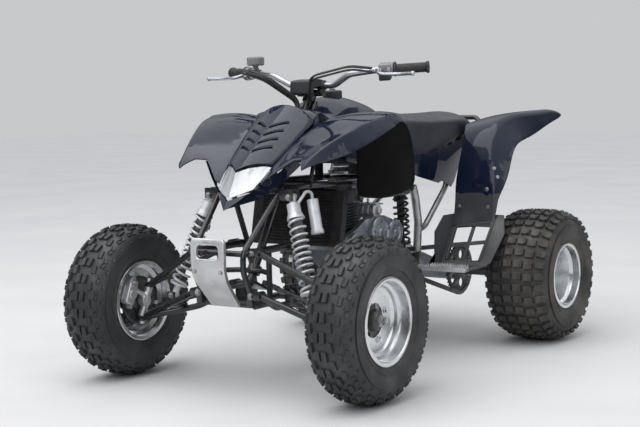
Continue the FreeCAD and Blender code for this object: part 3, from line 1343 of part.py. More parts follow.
doc.recompute()
for item in doc.Objects:
    if "Invalid" in item.State or "Error" in item.State:
        print("STATE", item.Label, item.State)
for item in nodes:
    shape = item.Shape
    if shape.isNull() or not shape.isValid():
        print("BAD SHAPE", item.Label)
        continue
    shape.exportStep("parts/%s.step" % item.Label)
    print(item.Label, round(shape.Volume / 1000), "cm3", shape.BoundBox)
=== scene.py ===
"""Looks of a sport quad bike: finishes, tyres, rims, springs, saddle, controls, fasteners, light and camera."""

import json
import logging
import math
from dataclasses import dataclass
from enum import Enum
from functools import lru_cache
from typing import Callable, Iterable, Sequence

import bpy
from mathutils import Matrix, Vector
from mathutils.bvhtree import BVHTree

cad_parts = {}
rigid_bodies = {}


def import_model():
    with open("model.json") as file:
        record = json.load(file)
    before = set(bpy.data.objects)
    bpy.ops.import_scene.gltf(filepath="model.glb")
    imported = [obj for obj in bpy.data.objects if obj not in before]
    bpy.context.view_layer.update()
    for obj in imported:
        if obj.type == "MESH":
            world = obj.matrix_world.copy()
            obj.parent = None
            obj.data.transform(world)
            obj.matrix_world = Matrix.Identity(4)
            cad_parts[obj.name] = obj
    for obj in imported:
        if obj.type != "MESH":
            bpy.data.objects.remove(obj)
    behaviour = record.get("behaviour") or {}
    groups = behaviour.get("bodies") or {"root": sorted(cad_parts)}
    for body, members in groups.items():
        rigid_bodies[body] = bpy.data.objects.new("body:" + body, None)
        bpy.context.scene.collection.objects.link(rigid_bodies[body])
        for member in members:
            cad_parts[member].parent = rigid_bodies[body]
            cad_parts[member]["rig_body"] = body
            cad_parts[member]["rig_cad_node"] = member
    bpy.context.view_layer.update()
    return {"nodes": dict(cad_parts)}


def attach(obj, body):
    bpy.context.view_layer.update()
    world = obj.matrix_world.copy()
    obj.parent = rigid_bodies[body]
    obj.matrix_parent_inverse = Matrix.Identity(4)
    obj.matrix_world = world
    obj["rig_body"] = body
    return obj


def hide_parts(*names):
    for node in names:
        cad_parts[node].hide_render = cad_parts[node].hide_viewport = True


LOG = logging.getLogger("quad_bike")
Item = bpy.types.Object
Point = tuple[float, float, float]
Colour = tuple[float, float, float]
Profile = Sequence[tuple[float, float]]
OUT, INWARD = (1, 0, 0), (-1, 0, 0)
AFT, AHEAD = (0, 1, 0), (0, -1, 0)
UP, DOWN = (0, 0, 1), (0, 0, -1)
BAR_WAY = (0.91359189, 0.40482515, 0.03829427)


# Shader maths

@dataclass(frozen=True)
class Wire:
    """Number on a node socket; Python operators add Math nodes."""

    shader: "Shader"
    socket: bpy.types.NodeSocket

    def combined(self, operation: str, other: "Wire | float" = 0) -> "Wire":
        """Add one Math node."""
        return self.shader.wire("Math", {0: self, 1: other}, operation=operation)

    def __add__(self, other: "Wire | float") -> "Wire":
        """Sum."""
        return self.combined("ADD", other)

    def __sub__(self, other: "Wire | float") -> "Wire":
        """Difference."""
        return self.combined("SUBTRACT", other)

    def __mul__(self, other: "Wire | float") -> "Wire":
        """Product."""
        return self.combined("MULTIPLY", other)

    def __pow__(self, other: float) -> "Wire":
        """Power."""
        return self.combined("POWER", other)

    def sine(self) -> "Wire":
        """Sine of the number in radians."""
        return self.combined("SINE")

    def within(self, low: float, high: float) -> "Wire":
        """Smooth step from low to high, as 0 to 1."""
        return self.shader.wire("MapRange", {"Value": self, "From Min": low, "From Max": high},
                                interpolation_type="SMOOTHSTEP")


class Shader:
    """Node tree of a material or a world under construction."""

    def __init__(self, owner: bpy.types.Material | bpy.types.World) -> None:
        """Empty the owner's node tree."""
        self.owner = owner
        owner.use_nodes = True
        self.tree = owner.node_tree
        self.tree.nodes.clear()
        self.places = self.add("TexCoord").outputs

    def add(self, kind: str, inputs: dict | None = None, stops: Sequence[tuple[float, Colour]] = (),
            **settings: str) -> bpy.types.Node:
        """Add a node.

        Args:
            kind: Node type without its "ShaderNode".
            inputs: Values, sockets or wires by socket name or number.
            stops: Places and colours of a colour ramp.
            settings: Attributes of the node, set first.

        Returns:
            The node.
        """
        node = self.tree.nodes.new("ShaderNode" + kind)
        for key, value in settings.items():
            setattr(node, key, value)
        if stops:
            ramp = node.color_ramp.elements
            while len(ramp) < len(stops):
                ramp.new(0.5)
            for element, (position, colour) in zip(ramp, stops):
                element.position = position
                element.color = (*colour, 1)
        for key, value in (inputs or {}).items():
            socket = node.inputs[key]
            source = value.socket if isinstance(value, Wire) else value
            if isinstance(source, bpy.types.NodeSocket):
                self.tree.links.new(source, socket)
            else:
                socket.default_value = (*source, 1) if socket.type == "RGBA" else source
        return node

    def wire(self, kind: str, inputs: dict, output: int | str = 0, **settings: str) -> Wire:
        """Add a node and give its output as a wire."""
        return Wire(self, self.add(kind, inputs, **settings).outputs[output])

    def spots(self, scale: float, detail: float = 4, stretch: Point = (1, 1, 1)) -> Wire:
        """Noise in object coordinates, optionally stretched."""
        place = self.add("Mapping", {"Vector": self.places["Object"], "Scale": stretch}).outputs[0]
        return self.wire("TexNoise", {"Vector": place, "Scale": scale, "Detail": detail}, "Fac")

    def cells(self, scale: float, feature: str = "F1") -> Wire:
        """Distance in a cell pattern."""
        return self.wire("TexVoronoi", {"Vector": self.places["Object"], "Scale": scale}, "Distance", feature=feature)

    def axis(self, index: int) -> Wire:
        """One coordinate of the object place."""
        return self.wire("SeparateXYZ", {"Vector": self.places["Object"]}, index)

    def upward(self) -> Wire:
        """How much a surface faces up, from 0 to 1."""
        normal = self.add("NewGeometry").outputs["Normal"]
        return self.wire("SeparateXYZ", {"Vector": normal}, 2).within(0.1, 1)

    def mix(self, factor: Wire | float, low: "Colour | Wire", high: "Colour | Wire") -> Wire:
        """Blend two colours."""
        return self.wire("Mix", {0: factor, 6: low, 7: high}, 2, data_type="RGBA")

    def bump(self, height: Wire, distance: float) -> Wire:
        """Normal from a height, with distance in metres."""
        return self.wire("Bump", {"Height": height, "Distance": distance, "Strength": 1})

    def finish(self, inputs: dict) -> bpy.types.Material:
        """Close the material with a Principled shader."""
        self.add("OutputMaterial", {"Surface": self.add("BsdfPrincipled", inputs).outputs[0]})
        return self.owner


@dataclass(frozen=True)
class Finish:
    """Surface with colour spread, roughness spread, grain and dust.

    Attributes:
        name: Material name.
        slot: Material slot of the record; not used.
        base: Main colour.
        worn: Colour of the spots.
        rough: Lowest and highest roughness.
        metal: Metallic level.
        coat: Clear coat weight.
        patch: Scale of the colour spots.
        grain: Scale of the fine bump.
        depth: Depth of the fine bump in metres.
        dust: Share of dust on surfaces that face up.
        dust_colour: Colour of the dust.
        ior: Index of refraction, which sets how strongly the surface mirrors.
    """

    name: str
    slot: str
    base: Colour
    worn: Colour
    rough: tuple[float, float]
    metal: float = 0
    coat: float = 0
    patch: float = 6
    grain: float = 400
    depth: float = 0.0001
    dust: float = 0.1
    dust_colour: Colour = (0.24, 0.22, 0.19)
    ior: float = 1.5

    def material(self) -> bpy.types.Material:
        """The material, made on first use."""
        return bpy.data.materials.get(self.name) or self.build(Shader(bpy.data.materials.new(self.name)))

    def colour(self, shader: Shader) -> Wire:
        """Base colour with spots and dust."""
        spread = shader.spots(self.patch, 6).within(0.35, 0.75)
        body = shader.mix(spread, self.base, self.worn)
        film = shader.upward() * shader.spots(self.patch * 5, 5).within(0.3, 0.8) * self.dust
        return shader.mix(film, body, self.dust_colour)

    def roughness(self, shader: Shader) -> Wire:
        """Roughness that wanders between its two limits."""
        low, high = self.rough
        return shader.spots(self.patch * 2.3, 5).within(0.3, 0.75) * (high - low) + low

    def height(self, shader: Shader) -> Wire:
        """Fine surface relief."""
        return shader.spots(self.grain, 3)

    def build(self, shader: Shader) -> bpy.types.Material:
        """Make the material."""
        return shader.finish({
            "Base Color": self.colour(shader), "Roughness": self.roughness(shader), "Metallic": self.metal,
            "Coat Weight": self.coat, "Coat Roughness": 0.04, "IOR": self.ior,
            "Normal": shader.bump(self.height(shader), self.depth)})


@dataclass(frozen=True)
class GlossPanel(Finish):
    """Moulded gloss plastic: slight waviness, fine swirl marks and a thin film of dust."""

    def height(self, shader: Shader) -> Wire:
        """Long soft waves with hair-fine marks."""
        return shader.spots(9, 2) * 2.5 + shader.spots(self.grain, 2, (1, 0.15, 0.4)) * 0.12


@dataclass(frozen=True)
class MouldedPlastic(Finish):
    """Grained plastic with scuffs."""

    def height(self, shader: Shader) -> Wire:
        """Leather-like mould grain."""
        return shader.cells(self.grain) * 0.7 + shader.spots(self.grain * 0.5, 4) * 0.6


@dataclass(frozen=True)
class Rubber(Finish):
    """Rubber with dry dust in soft clouds and specks."""

    def colour(self, shader: Shader) -> Wire:
        """Black with brown-grey dust in soft clouds."""
        cloud = shader.spots(self.patch, 8).within(0.38, 0.72)
        speck = shader.spots(self.patch * 22, 3).within(0.45, 0.85) * 0.55
        body = shader.mix(cloud, self.base, self.worn)
        return shader.mix((cloud * 0.6 + speck) * self.dust, body, self.dust_colour)


@dataclass(frozen=True)
class Vinyl(Finish):
    """Saddle cover with a pebbled grain."""

    def height(self, shader: Shader) -> Wire:
        """Pebbles of two sizes."""
        return shader.cells(self.grain, "SMOOTH_F1") + shader.cells(self.grain * 2.1) * 0.5


@dataclass(frozen=True)
class CastMetal(Finish):
    """Sand-cast metal with a sandy cast skin."""

    def height(self, shader: Shader) -> Wire:
        """Sandy cast skin."""
        return shader.spots(self.grain, 4) * 0.8 + shader.spots(self.grain * 0.22, 3) * 0.8


@dataclass(frozen=True)
class TurnedMetal(Finish):
    """Metal turned on a lathe about the X axis of the bike."""

    centre_y: float = 0
    centre_z: float = 0.26

    def height(self, shader: Shader) -> Wire:
        """Concentric tool marks about the wheel's own axis."""
        y = shader.axis(1) - self.centre_y
        z = shader.axis(2) - self.centre_z
        radius = (y * y + z * z) ** 0.5
        return (radius * 5200 + shader.axis(0) * 2600).sine() * 0.35 + shader.spots(30, 2) * 0.6


@dataclass(frozen=True)
class Clear(Finish):
    """Clear or tinted lamp plastic with moulded flutes."""

    alpha: float = 0.25
    flutes: float = 260

    def build(self, shader: Shader) -> bpy.types.Material:
        """Make the see-through material."""
        flutes = (shader.axis(0) * self.flutes).sine() * 0.5 + shader.spots(60, 2) * 0.3
        return shader.finish({
            "Base Color": self.colour(shader), "Roughness": self.roughness(shader), "Metallic": 0,
            "Coat Weight": 1, "Coat Roughness": 0.02, "IOR": 1.5,
            "Alpha": shader.spots(40, 3) * 0.12 + self.alpha, "Normal": shader.bump(flutes, 0.0006)})


class Look(Enum):
    """The bike's finishes."""

    # Painted reflection: the navy tint in the panel's base and worn colours stands for blue sky mirrored in the
    # near-black gloss plastic.
    PANEL = GlossPanel("panel_gloss", "black_gloss", (0.0055, 0.0087, 0.0235), (0.009, 0.0132, 0.031), (0.04, 0.12),
                       patch=5, grain=300, depth=0.00012, dust=0.035, ior=1.45)
    UNDER = MouldedPlastic("moulded_underside", "black_gloss", (0.01, 0.01, 0.011), (0.017, 0.016, 0.016),
                           (0.62, 0.85), grain=420, depth=0.0002, dust=0.3, ior=1.35)
    GUARD = MouldedPlastic("moulded_grey", "black_satin", (0.03, 0.031, 0.036), (0.046, 0.047, 0.052), (0.36, 0.56),
                           grain=520, depth=0.00014, dust=0.16)
    BLACK = MouldedPlastic("moulded_black", "black_satin", (0.018, 0.019, 0.023), (0.03, 0.031, 0.035), (0.35, 0.6),
                           grain=600, depth=0.0001, dust=0.12)
    HOUSING = MouldedPlastic("cast_housing_grey", "black_satin", (0.19, 0.195, 0.205), (0.25, 0.252, 0.26),
                             (0.3, 0.5), grain=500, depth=0.00012, dust=0.1)
    FRAME = Finish("frame_paint", "frame_black", (0.012, 0.012, 0.015), (0.024, 0.024, 0.025), (0.18, 0.4),
                   coat=0.3, patch=9, grain=260, depth=0.00008, dust=0.12)
    TYRE = Rubber("tyre_rubber_dusty", "tyre_rubber", (0.021, 0.022, 0.024), (0.037, 0.037, 0.039), (0.42, 0.7),
                  patch=7, grain=380, depth=0.0005, dust=0.24, dust_colour=(0.125, 0.126, 0.128))
    REAR_TYRE = Rubber("tyre_rubber_rear", "tyre_rubber", (0.024, 0.024, 0.024), (0.045, 0.043, 0.04), (0.5, 0.8),
                       patch=7, grain=380, depth=0.0005, dust=0.55, dust_colour=(0.16, 0.145, 0.125))
    GRIP = Rubber("grip_rubber_soft", "grip_rubber", (0.016, 0.016, 0.018), (0.03, 0.03, 0.032), (0.45, 0.7),
                  patch=20, grain=900, depth=0.0001, dust=0.12)
    FRONT_RIM = TurnedMetal("rim_polished", "polished_aluminium", (0.76, 0.77, 0.78), (0.68, 0.69, 0.7), (0.18, 0.28),
                            metal=1, patch=9, depth=0.000006, dust=0.04, centre_y=-0.655, centre_z=0.26)
    REAR_RIM = TurnedMetal("rim_polished_rear", "polished_aluminium", (0.76, 0.77, 0.78), (0.68, 0.69, 0.7),
                           (0.18, 0.3), metal=1, patch=9, depth=0.000006, dust=0.04, centre_y=0.59, centre_z=0.248)
    CAST = CastMetal("cast_aluminium_skin", "cast_aluminium", (0.36, 0.38, 0.42), (0.2, 0.21, 0.235), (0.32, 0.55),
                     metal=0.85, patch=16, grain=330, depth=0.0003, dust=0.12)
    FINS = CastMetal("cylinder_black", "cast_aluminium", (0.05, 0.052, 0.056), (0.13, 0.13, 0.135), (0.34, 0.6),
                     metal=0.55, patch=30, grain=330, depth=0.0003, dust=0.18)
    BUMPER = CastMetal("bumper_brushed", "cast_aluminium", (0.68, 0.69, 0.7), (0.52, 0.525, 0.53), (0.32, 0.54),
                       metal=0.85, patch=12, grain=240, depth=0.00026, dust=0.12)
    STEEL = Finish("plain_steel", "steel", (0.46, 0.46, 0.47), (0.26, 0.255, 0.25), (0.26, 0.48), metal=0.95,
                   patch=24, grain=500, depth=0.00006, dust=0.1)
    DARK_STEEL = Finish("dark_steel", "steel", (0.085, 0.087, 0.092), (0.14, 0.13, 0.12), (0.32, 0.55), metal=0.8,
                        patch=30, grain=500, depth=0.00008, dust=0.15)
    BRIGHT = Finish("bright_bar", "chrome_bar", (0.5, 0.51, 0.54), (0.38, 0.39, 0.41), (0.26, 0.42), metal=0.95,
                    patch=20, grain=700, depth=0.00003, dust=0.06)
    SILVER = Finish("silver_coat", "silver_spring", (0.66, 0.67, 0.69), (0.5, 0.51, 0.53), (0.28, 0.46), metal=0.3,
                    coat=0.2, patch=26, grain=500, depth=0.00005, dust=0.12)
    VINYL = Vinyl("saddle_vinyl", "vinyl", (0.016, 0.018, 0.027), (0.027, 0.029, 0.038), (0.34, 0.5), coat=0.1,
                  patch=8, grain=780, depth=0.00022, dust=0.06)
    LENS = Clear("lamp_lens", "lens", (0.93, 0.95, 0.97), (0.86, 0.88, 0.9), (0.02, 0.07), alpha=0.14, dust=0.05)
    RED = Clear("tail_lens", "red_lens", (0.42, 0.015, 0.012), (0.3, 0.01, 0.01), (0.05, 0.12), alpha=0.8, dust=0.05)
    MIRROR = Finish("lamp_mirror", "lamp_silver", (0.52, 0.53, 0.54), (0.4, 0.41, 0.42), (0.14, 0.28), metal=1,
                    patch=30, grain=70, depth=0.0012, dust=0)
    CORE = Finish("radiator_core", "cast_aluminium", (0.03, 0.03, 0.033), (0.055, 0.052, 0.05), (0.4, 0.65),
                  metal=0.5, patch=40, grain=900, depth=0.0003, dust=0.15)


# Modelling tools

def deselect() -> None:
    """Leave edit mode and deselect everything."""
    if bpy.context.object is not None and bpy.context.object.mode != "OBJECT":
        bpy.ops.object.mode_set(mode="OBJECT")
    bpy.ops.object.select_all(action="DESELECT")


def pick(item: Item) -> Item:
    """Make one object the only selected and the active one."""
    deselect()
    item.select_set(True)
    bpy.context.view_layer.objects.active = item
    return item


def edit(item: Item, mode: str = "VERT", select: str = "SELECT") -> None:
    """Go into edit mode on one object with everything selected or deselected."""
    pick(item)
    bpy.ops.object.mode_set(mode="EDIT")
    bpy.ops.mesh.select_mode(type=mode)
    bpy.ops.mesh.select_all(action=select)


def leave() -> None:
    """Back to object mode."""
    bpy.ops.object.mode_set(mode="OBJECT")


def settle(item: Item) -> Item:
    """Put an object's place, turn and scale into its mesh."""
    pick(item)
    bpy.ops.object.transform_apply(location=True, rotation=True, scale=True)
    return item


def faces_where(item: Item, test: Callable[[bpy.types.MeshPolygon], bool]) -> None:
    """Select the faces that pass a test, ready for edit mode."""
    edit(item, "FACE", "DESELECT")
    leave()
    for face in item.data.polygons:
        face.select = test(face)
    bpy.ops.object.mode_set(mode="EDIT")


def modified(item: Item, kind: str, **settings: float | str) -> Item:
    """Add a modifier with its settings and apply it."""
    pick(item)
    modifier = item.modifiers.new(kind, kind)
    for key, value in settings.items():
        setattr(modifier, key, value)
    bpy.ops.object.modifier_apply(modifier=modifier.name)
    return item


def bevelled(item: Item, width: float, segments: int = 2, angle: float = 35) -> Item:
    """Round an object's sharp edges with an applied Bevel modifier."""
    return modified(item, "BEVEL", width=width, segments=segments, limit_method="ANGLE",
                    angle_limit=math.radians(angle))


def smooth(item: Item, angle: float = 40) -> Item:
    """Shade smooth below an edge angle."""
    pick(item)
    bpy.ops.object.shade_smooth_by_angle(angle=math.radians(angle))
    return item


def box(low: Point, high: Point) -> Item:
    """Cube primitive between two corners."""
    deselect()
    bpy.ops.mesh.primitive_cube_add(size=1, location=[(a + b) / 2 for a, b in zip(low, high)])
    item = bpy.context.object
    item.scale = [b - a for a, b in zip(low, high)]
    return settle(item)


def spun(degrees: float, axis: str) -> Matrix:
    """Matrix of a turn about an axis through the origin."""
    return Matrix.Rotation(math.radians(degrees), 4, axis)


def block(low: Point, high: Point, edge: float, segments: int = 2) -> Item:
    """Box with rounded edges between two corners."""
    return bevelled(box(low, high), edge, segments)


def turned(way: Point | Vector, axis: str = "Z", up: str = "Y") -> Matrix:
    """Matrix that turns a local axis to a direction."""
    return Vector(way).to_track_quat(axis, up).to_matrix().to_4x4()


def round_bar(start: Point, end: Point, radius: float, sides: int = 24) -> Item:
    """Cylinder primitive between two points."""
    deselect()
    first, last = Vector(start), Vector(end)
    bpy.ops.mesh.primitive_cylinder_add(vertices=sides, radius=radius, depth=(last - first).length)
    item = bpy.context.object
    item.matrix_world = Matrix.Translation((first + last) / 2) @ turned(last - first)
    return settle(item)


def cross_bar(inner: float, outer: float, y: float, z: float, radius: float, sides: int) -> Item:
    """Cylinder along X between two places."""
    return round_bar((inner, y, z), (outer, y, z), radius, sides)


def around(x: float, radius: float, angle: float) -> Point:
    """Place on a circle about the X axis."""
    return x, radius * math.cos(angle), radius * math.sin(angle)


def joined(name: str, items: Iterable[Item]) -> Item:
    """Join objects into one of that name."""
    items = list(items)
    pick(items[0])
    for item in items:
        item.select_set(True)
    if len(items) > 1:
        bpy.ops.object.join()
    whole = bpy.context.view_layer.objects.active
    whole.name = name
    whole.data.name = name
    return whole


def linked(name: str, data: bpy.types.ID) -> Item:
    """New object of some data in the scene."""
    item = bpy.data.objects.new(name, data)
    bpy.context.scene.collection.objects.link(item)
    return item


def copy_of(item: Item, matrix: Matrix) -> Item:
    """Copy with its own mesh, moved by a matrix in the mesh."""
    twin = item.copy()
    twin.data = item.data.copy()
    bpy.context.scene.collection.objects.link(twin)
    twin.data.transform(matrix)
    if matrix.determinant() < 0:
        twin.data.flip_normals()
    return twin


def placed(item: Item, spot: Point, normal: Point) -> Item:
    """Copy of a Z-up item standing at a spot on a normal."""
    return copy_of(item, Matrix.Translation(spot) @ turned(normal))


def facing_out(spot: Point | Vector) -> Matrix:
    """Matrix that takes a +X item at the origin to a spot, facing away from the middle plane."""
    return Matrix.Translation(spot) @ Matrix.Rotation(0 if spot[0] > 0 else math.pi, 4, "Z")


def mirrored(item: Item) -> Item:
    """Mirror copy across the bike's middle plane."""
    return copy_of(item, Matrix.Scale(-1, 4, OUT))


def both_sides(name: str, item: Item) -> Item:
    """One mesh of a left item and its mirror copy."""
    return joined(name, [item, mirrored(item)])


def lathe(name: str, profile: Profile, steps: int, closed: bool = False) -> Item:
    """Spin a profile of (x, radius) points about the X axis through the origin.

    Args:
        name: Name of the object.
        profile: Points from one side to the other.
        steps: Segments of the turn.
        closed: Whether the last point joins the first.

    Returns:
        The turned object.
    """
    deselect()
    bpy.ops.mesh.primitive_plane_add(size=0.001)
    item = bpy.context.object
    edit(item)
    bpy.ops.mesh.merge(type="CENTER")
    x, r = profile[0]
    bpy.ops.transform.translate(value=(x, 0, r))
    for after in list(profile[1:]) + ([profile[0]] if closed else []):
        bpy.ops.mesh.extrude_region_move(TRANSFORM_OT_translate={"value": (after[0] - x, 0, after[1] - r)})
        x, r = after
    bpy.ops.mesh.select_all(action="SELECT")
    bpy.ops.mesh.spin(steps=steps, angle=math.tau, center=(0, 0, 0), axis=OUT)
    bpy.ops.mesh.select_all(action="SELECT")
    bpy.ops.mesh.remove_doubles(threshold=0.00002)
    bpy.ops.mesh.normals_make_consistent(inside=False)
    leave()
    item.name = name
    return item


def tube_along(name: str, points: Sequence[Point | Vector], radius: float) -> Item:
    """Round wire through points, as a smooth-shaded mesh."""
    deselect()
    curve = bpy.data.curves.new(name, "CURVE")
    curve.dimensions = "3D"
    curve.bevel_depth = radius
    curve.bevel_resolution = 3
    curve.use_fill_caps = True
    spline = curve.splines.new("POLY")
    spline.points.add(len(points) - 1)
    for point, place in zip(spline.points, points):
        point.co = (*place, 1)
    item = pick(linked(name, curve))
    bpy.ops.object.convert(target="MESH")
    return smooth(item, 60)


def bolt(radius: float, height: float) -> Item:
    """Hex-head bolt on its washer, its axis along Z and its seat at Z 0."""
    deselect()
    bpy.ops.mesh.primitive_cylinder_add(vertices=6, radius=radius, depth=height, location=(0, 0, height * 0.65))
    head = bevelled(settle(bpy.context.object), radius * 0.12, 1)
    bpy.ops.mesh.primitive_cylinder_add(vertices=20, radius=radius * 1.35, depth=height * 0.3,
                                        location=(0, 0, height * 0.13))
    return joined("bolt", [head, settle(bpy.context.object)])


@lru_cache(maxsize=None)
def tree_of(node: str) -> BVHTree:
    """Search tree of a CAD node's faces."""
    mesh = frame["nodes"][node].data
    return BVHTree.FromPolygons([v.co for v in mesh.vertices], [tuple(f.vertices) for f in mesh.polygons])


def surface(nodes: str, start: Point | Vector, way: Point) -> tuple[Vector, Vector] | None:
    """Nearest place and normal where a ray meets one of the CAD nodes.

    Args:
        nodes: Names of the nodes that may be met, with spaces between.
        start: Where the ray starts.
        way: Its direction.

    Returns:
        The place and the normal there, or nothing where the ray misses.
    """
    way = Vector(way)
    hits = [tree_of(node).ray_cast(Vector(start), way) for node in nodes.split()]
    met = min((hit for hit in hits if hit[0] is not None), key=lambda hit: hit[3], default=None)
    return met and (met[0], met[1] if met[1].dot(way) < 0 else -met[1])


def coat(item: Item, *looks: "Look") -> None:
    """Give an object these finishes and no other."""
    item.data.materials.clear()
    for look in looks:
        item.data.materials.append(look.value.material())


def dress(item: Item, look: "Look", body: str = "chassis") -> Item:
    """Give a piece its finish and its body."""
    coat(item, look)
    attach(item, body)
    LOG.info("%s: %d faces on %s", item.name, len(item.data.polygons), body)
    return item


def body_of(node: str) -> str:
    """Body that a CAD node moves with."""
    return frame["nodes"][node]["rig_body"]


def stand_in(item: Item, look: "Look", node: str) -> Item:
    """Dress a piece that stands for a CAD node and moves with its body."""
    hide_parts(node)
    return dress(item, look, body_of(node))


def free_copy(node: str, name: str, shift: Point = (0, 0, 0)) -> Item:
    """Copy of a CAD node's mesh as a piece of its own, its vertices merged."""
    twin = copy_of(frame["nodes"][node], Matrix.Translation(shift))
    twin.parent = None
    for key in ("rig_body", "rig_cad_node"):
        if key in twin:
            del twin[key]
    twin.name = name
    edit(twin)
    bpy.ops.mesh.remove_doubles(threshold=0.00001)
    leave()
    return twin


def softened(node: str, name: str, voxel: float, rounds: int) -> Item:
    """Evenly remeshed and softened copy of a CAD node.

    Args:
        node: The CAD node.
        name: Name of the piece.
        voxel: Mesh size in metres.
        rounds: Rounds of smoothing.

    Returns:
        The soft-edged piece.
    """
    item = modified(free_copy(node, name), "REMESH", mode="VOXEL", voxel_size=voxel)
    return smooth(modified(item, "SMOOTH", factor=0.5, iterations=rounds), 60)


def polished_copy(node: str, angle: float, bevel: float) -> Item:
    """Merged, bevelled and smooth-shaded copy of a CAD node."""
    twin = free_copy(node, node + "_skin")
    edit(twin)
    bpy.ops.mesh.dissolve_limited(angle_limit=math.radians(0.3))
    leave()
    return smooth(bevelled(twin, bevel, 2, 40), angle)


# Sub-assemblies

@dataclass
class Knob:
    """One tread knob.

    Attributes:
        x: Place across the tread in metres.
        drop: Distance of its foot below the tip radius.
        lean: Tilt outward in degrees.
        wide: Size across the tread.
        long: Size along the tread.
        high: Height above its foot.
        phase: Place along the pitch, from 0 to 1.
        twist: Turn about its own normal in degrees.
    """

    x: float
    drop: float
    lean: float
    wide: float
    long: float
    high: float
    phase: float
    twist: float = 0

    def shape(self) -> Item:
        """Knob with a notch at each end and rounded edges, standing on Z 0."""
        item = box((-self.wide / 2, -self.long / 2, -0.004), (self.wide / 2, self.long / 2, self.high))
        edit(item)
        for reach, way in ((self.wide * 0.14, OUT), (self.long * 0.2, AFT)):
            for cut in (-reach, reach):
                bpy.ops.mesh.select_all(action="SELECT")
                bpy.ops.mesh.bisect(plane_co=Vector(way) * cut, plane_no=way)
        leave()
        faces_where(item, lambda face: face.normal.z > 0.9 and abs(face.center.x) < self.wide * 0.13
                    and abs(face.center.y) > self.long * 0.2)
        bpy.ops.transform.translate(value=(0, 0, -self.high * 0.45))
        leave()
        faces_where(item, lambda face: face.normal.z > 0.9)
        bpy.ops.transform.resize(value=(0.9, 0.93, 1))
        leave()
        return bevelled(item, min(self.wide, self.long) * 0.05, 1, 30)


@dataclass
class WheelPart:
    """Piece that is the same in every wheel of an axle.

    Attributes:
        name: Name of the piece.
        node: CAD node that it stands for.
        look: Finish.
        centres: Wheel centres.
    """

    name: str
    node: str
    look: Look
    centres: tuple[Point, ...]

    def mount(self, item: Item) -> None:
        """Move an item that faces +X to the wheels, facing out, and dress it."""
        twins = [copy_of(item, facing_out(centre)) for centre in self.centres]
        bpy.data.objects.remove(item)
        stand_in(joined(self.name, twins), self.look, self.node)


@dataclass
class Tyre(WheelPart):
    """Low-pressure off-road tyre with a round carcass, moulded rings and a knob pattern.

    Attributes:
        tip_r: Radius at the knob tips.
        crown: Height of the knobs over the carcass.
        half: Half of its width.
        bead_r: Radius of the bead.
        bead_x: Distance of the bead from the middle.
        pitches: How often the knob pattern repeats.
        stagger: Shift of the inner half's knobs, in pitches.
        knobs: Knobs of one pitch.
    """

    tip_r: float
    crown: float
    half: float
    bead_r: float
    bead_x: float
    pitches: int
    stagger: float
    knobs: tuple[Knob, ...]

    def carcass(self) -> Item:
        """Round section with two moulded rings on each wall."""
        half, base, bead = self.half, self.tip_r - self.crown, self.bead_r
        wall = bead * 0.42 + base * 0.58
        side = [(0, base), (half * 0.35, base - 0.0015), (half * 0.62, base - 0.007), (half * 0.82, base - 0.02),
                (half * 0.93, base - 0.036), (half - 0.0035, base - 0.052), (half - 0.0015, base - 0.056),
                (half - 0.0035, base - 0.06), (half - 0.001, wall + 0.008), (half - 0.0005, wall + 0.0065),
                (half - 0.0005, wall + 0.0045), (half - 0.0018, wall + 0.003), (half - 0.001, wall - 0.006),
                (half - 0.005, bead + 0.036), (half - 0.0035, bead + 0.034), (half - 0.0045, bead + 0.031),
                (half - 0.009, bead + 0.029), (self.bead_x + 0.006, bead + 0.017),
                (self.bead_x + 0.002, bead + 0.0135), (self.bead_x - 0.003, bead + 0.004),
                (self.bead_x - 0.012, bead + 0.0006)]
        return smooth(lathe(self.name, [(-x, r) for x, r in side[:0:-1]] + side, 96), 50)

    def build(self) -> None:
        """Make the tyre once and copy it to its places."""
        pattern = []
        for knob in self.knobs:
            shape = knob.shape()
            for side in ((1,) if knob.x == 0 else (1, -1)):
                angle = (knob.phase + (self.stagger if side < 0 else 0)) * math.tau / self.pitches
                pattern.append(copy_of(shape, Matrix.Rotation(angle, 4, "X")
                                       @ Matrix.Translation((side * knob.x, 0, self.tip_r - knob.drop))
                                       @ spun(side * knob.lean, "Y") @ spun(side * knob.twist, "Z")))
            bpy.data.objects.remove(shape)
        pitch = joined("pitch", pattern)
        ring = [copy_of(pitch, Matrix.Rotation(index * math.tau / self.pitches, 4, "X"))
                for index in range(1, self.pitches)]
        knobs = joined("knobs", [pitch] + ring)
        self.mount(smooth(joined(self.name, [self.carcass(), smooth(knobs, 30)])))


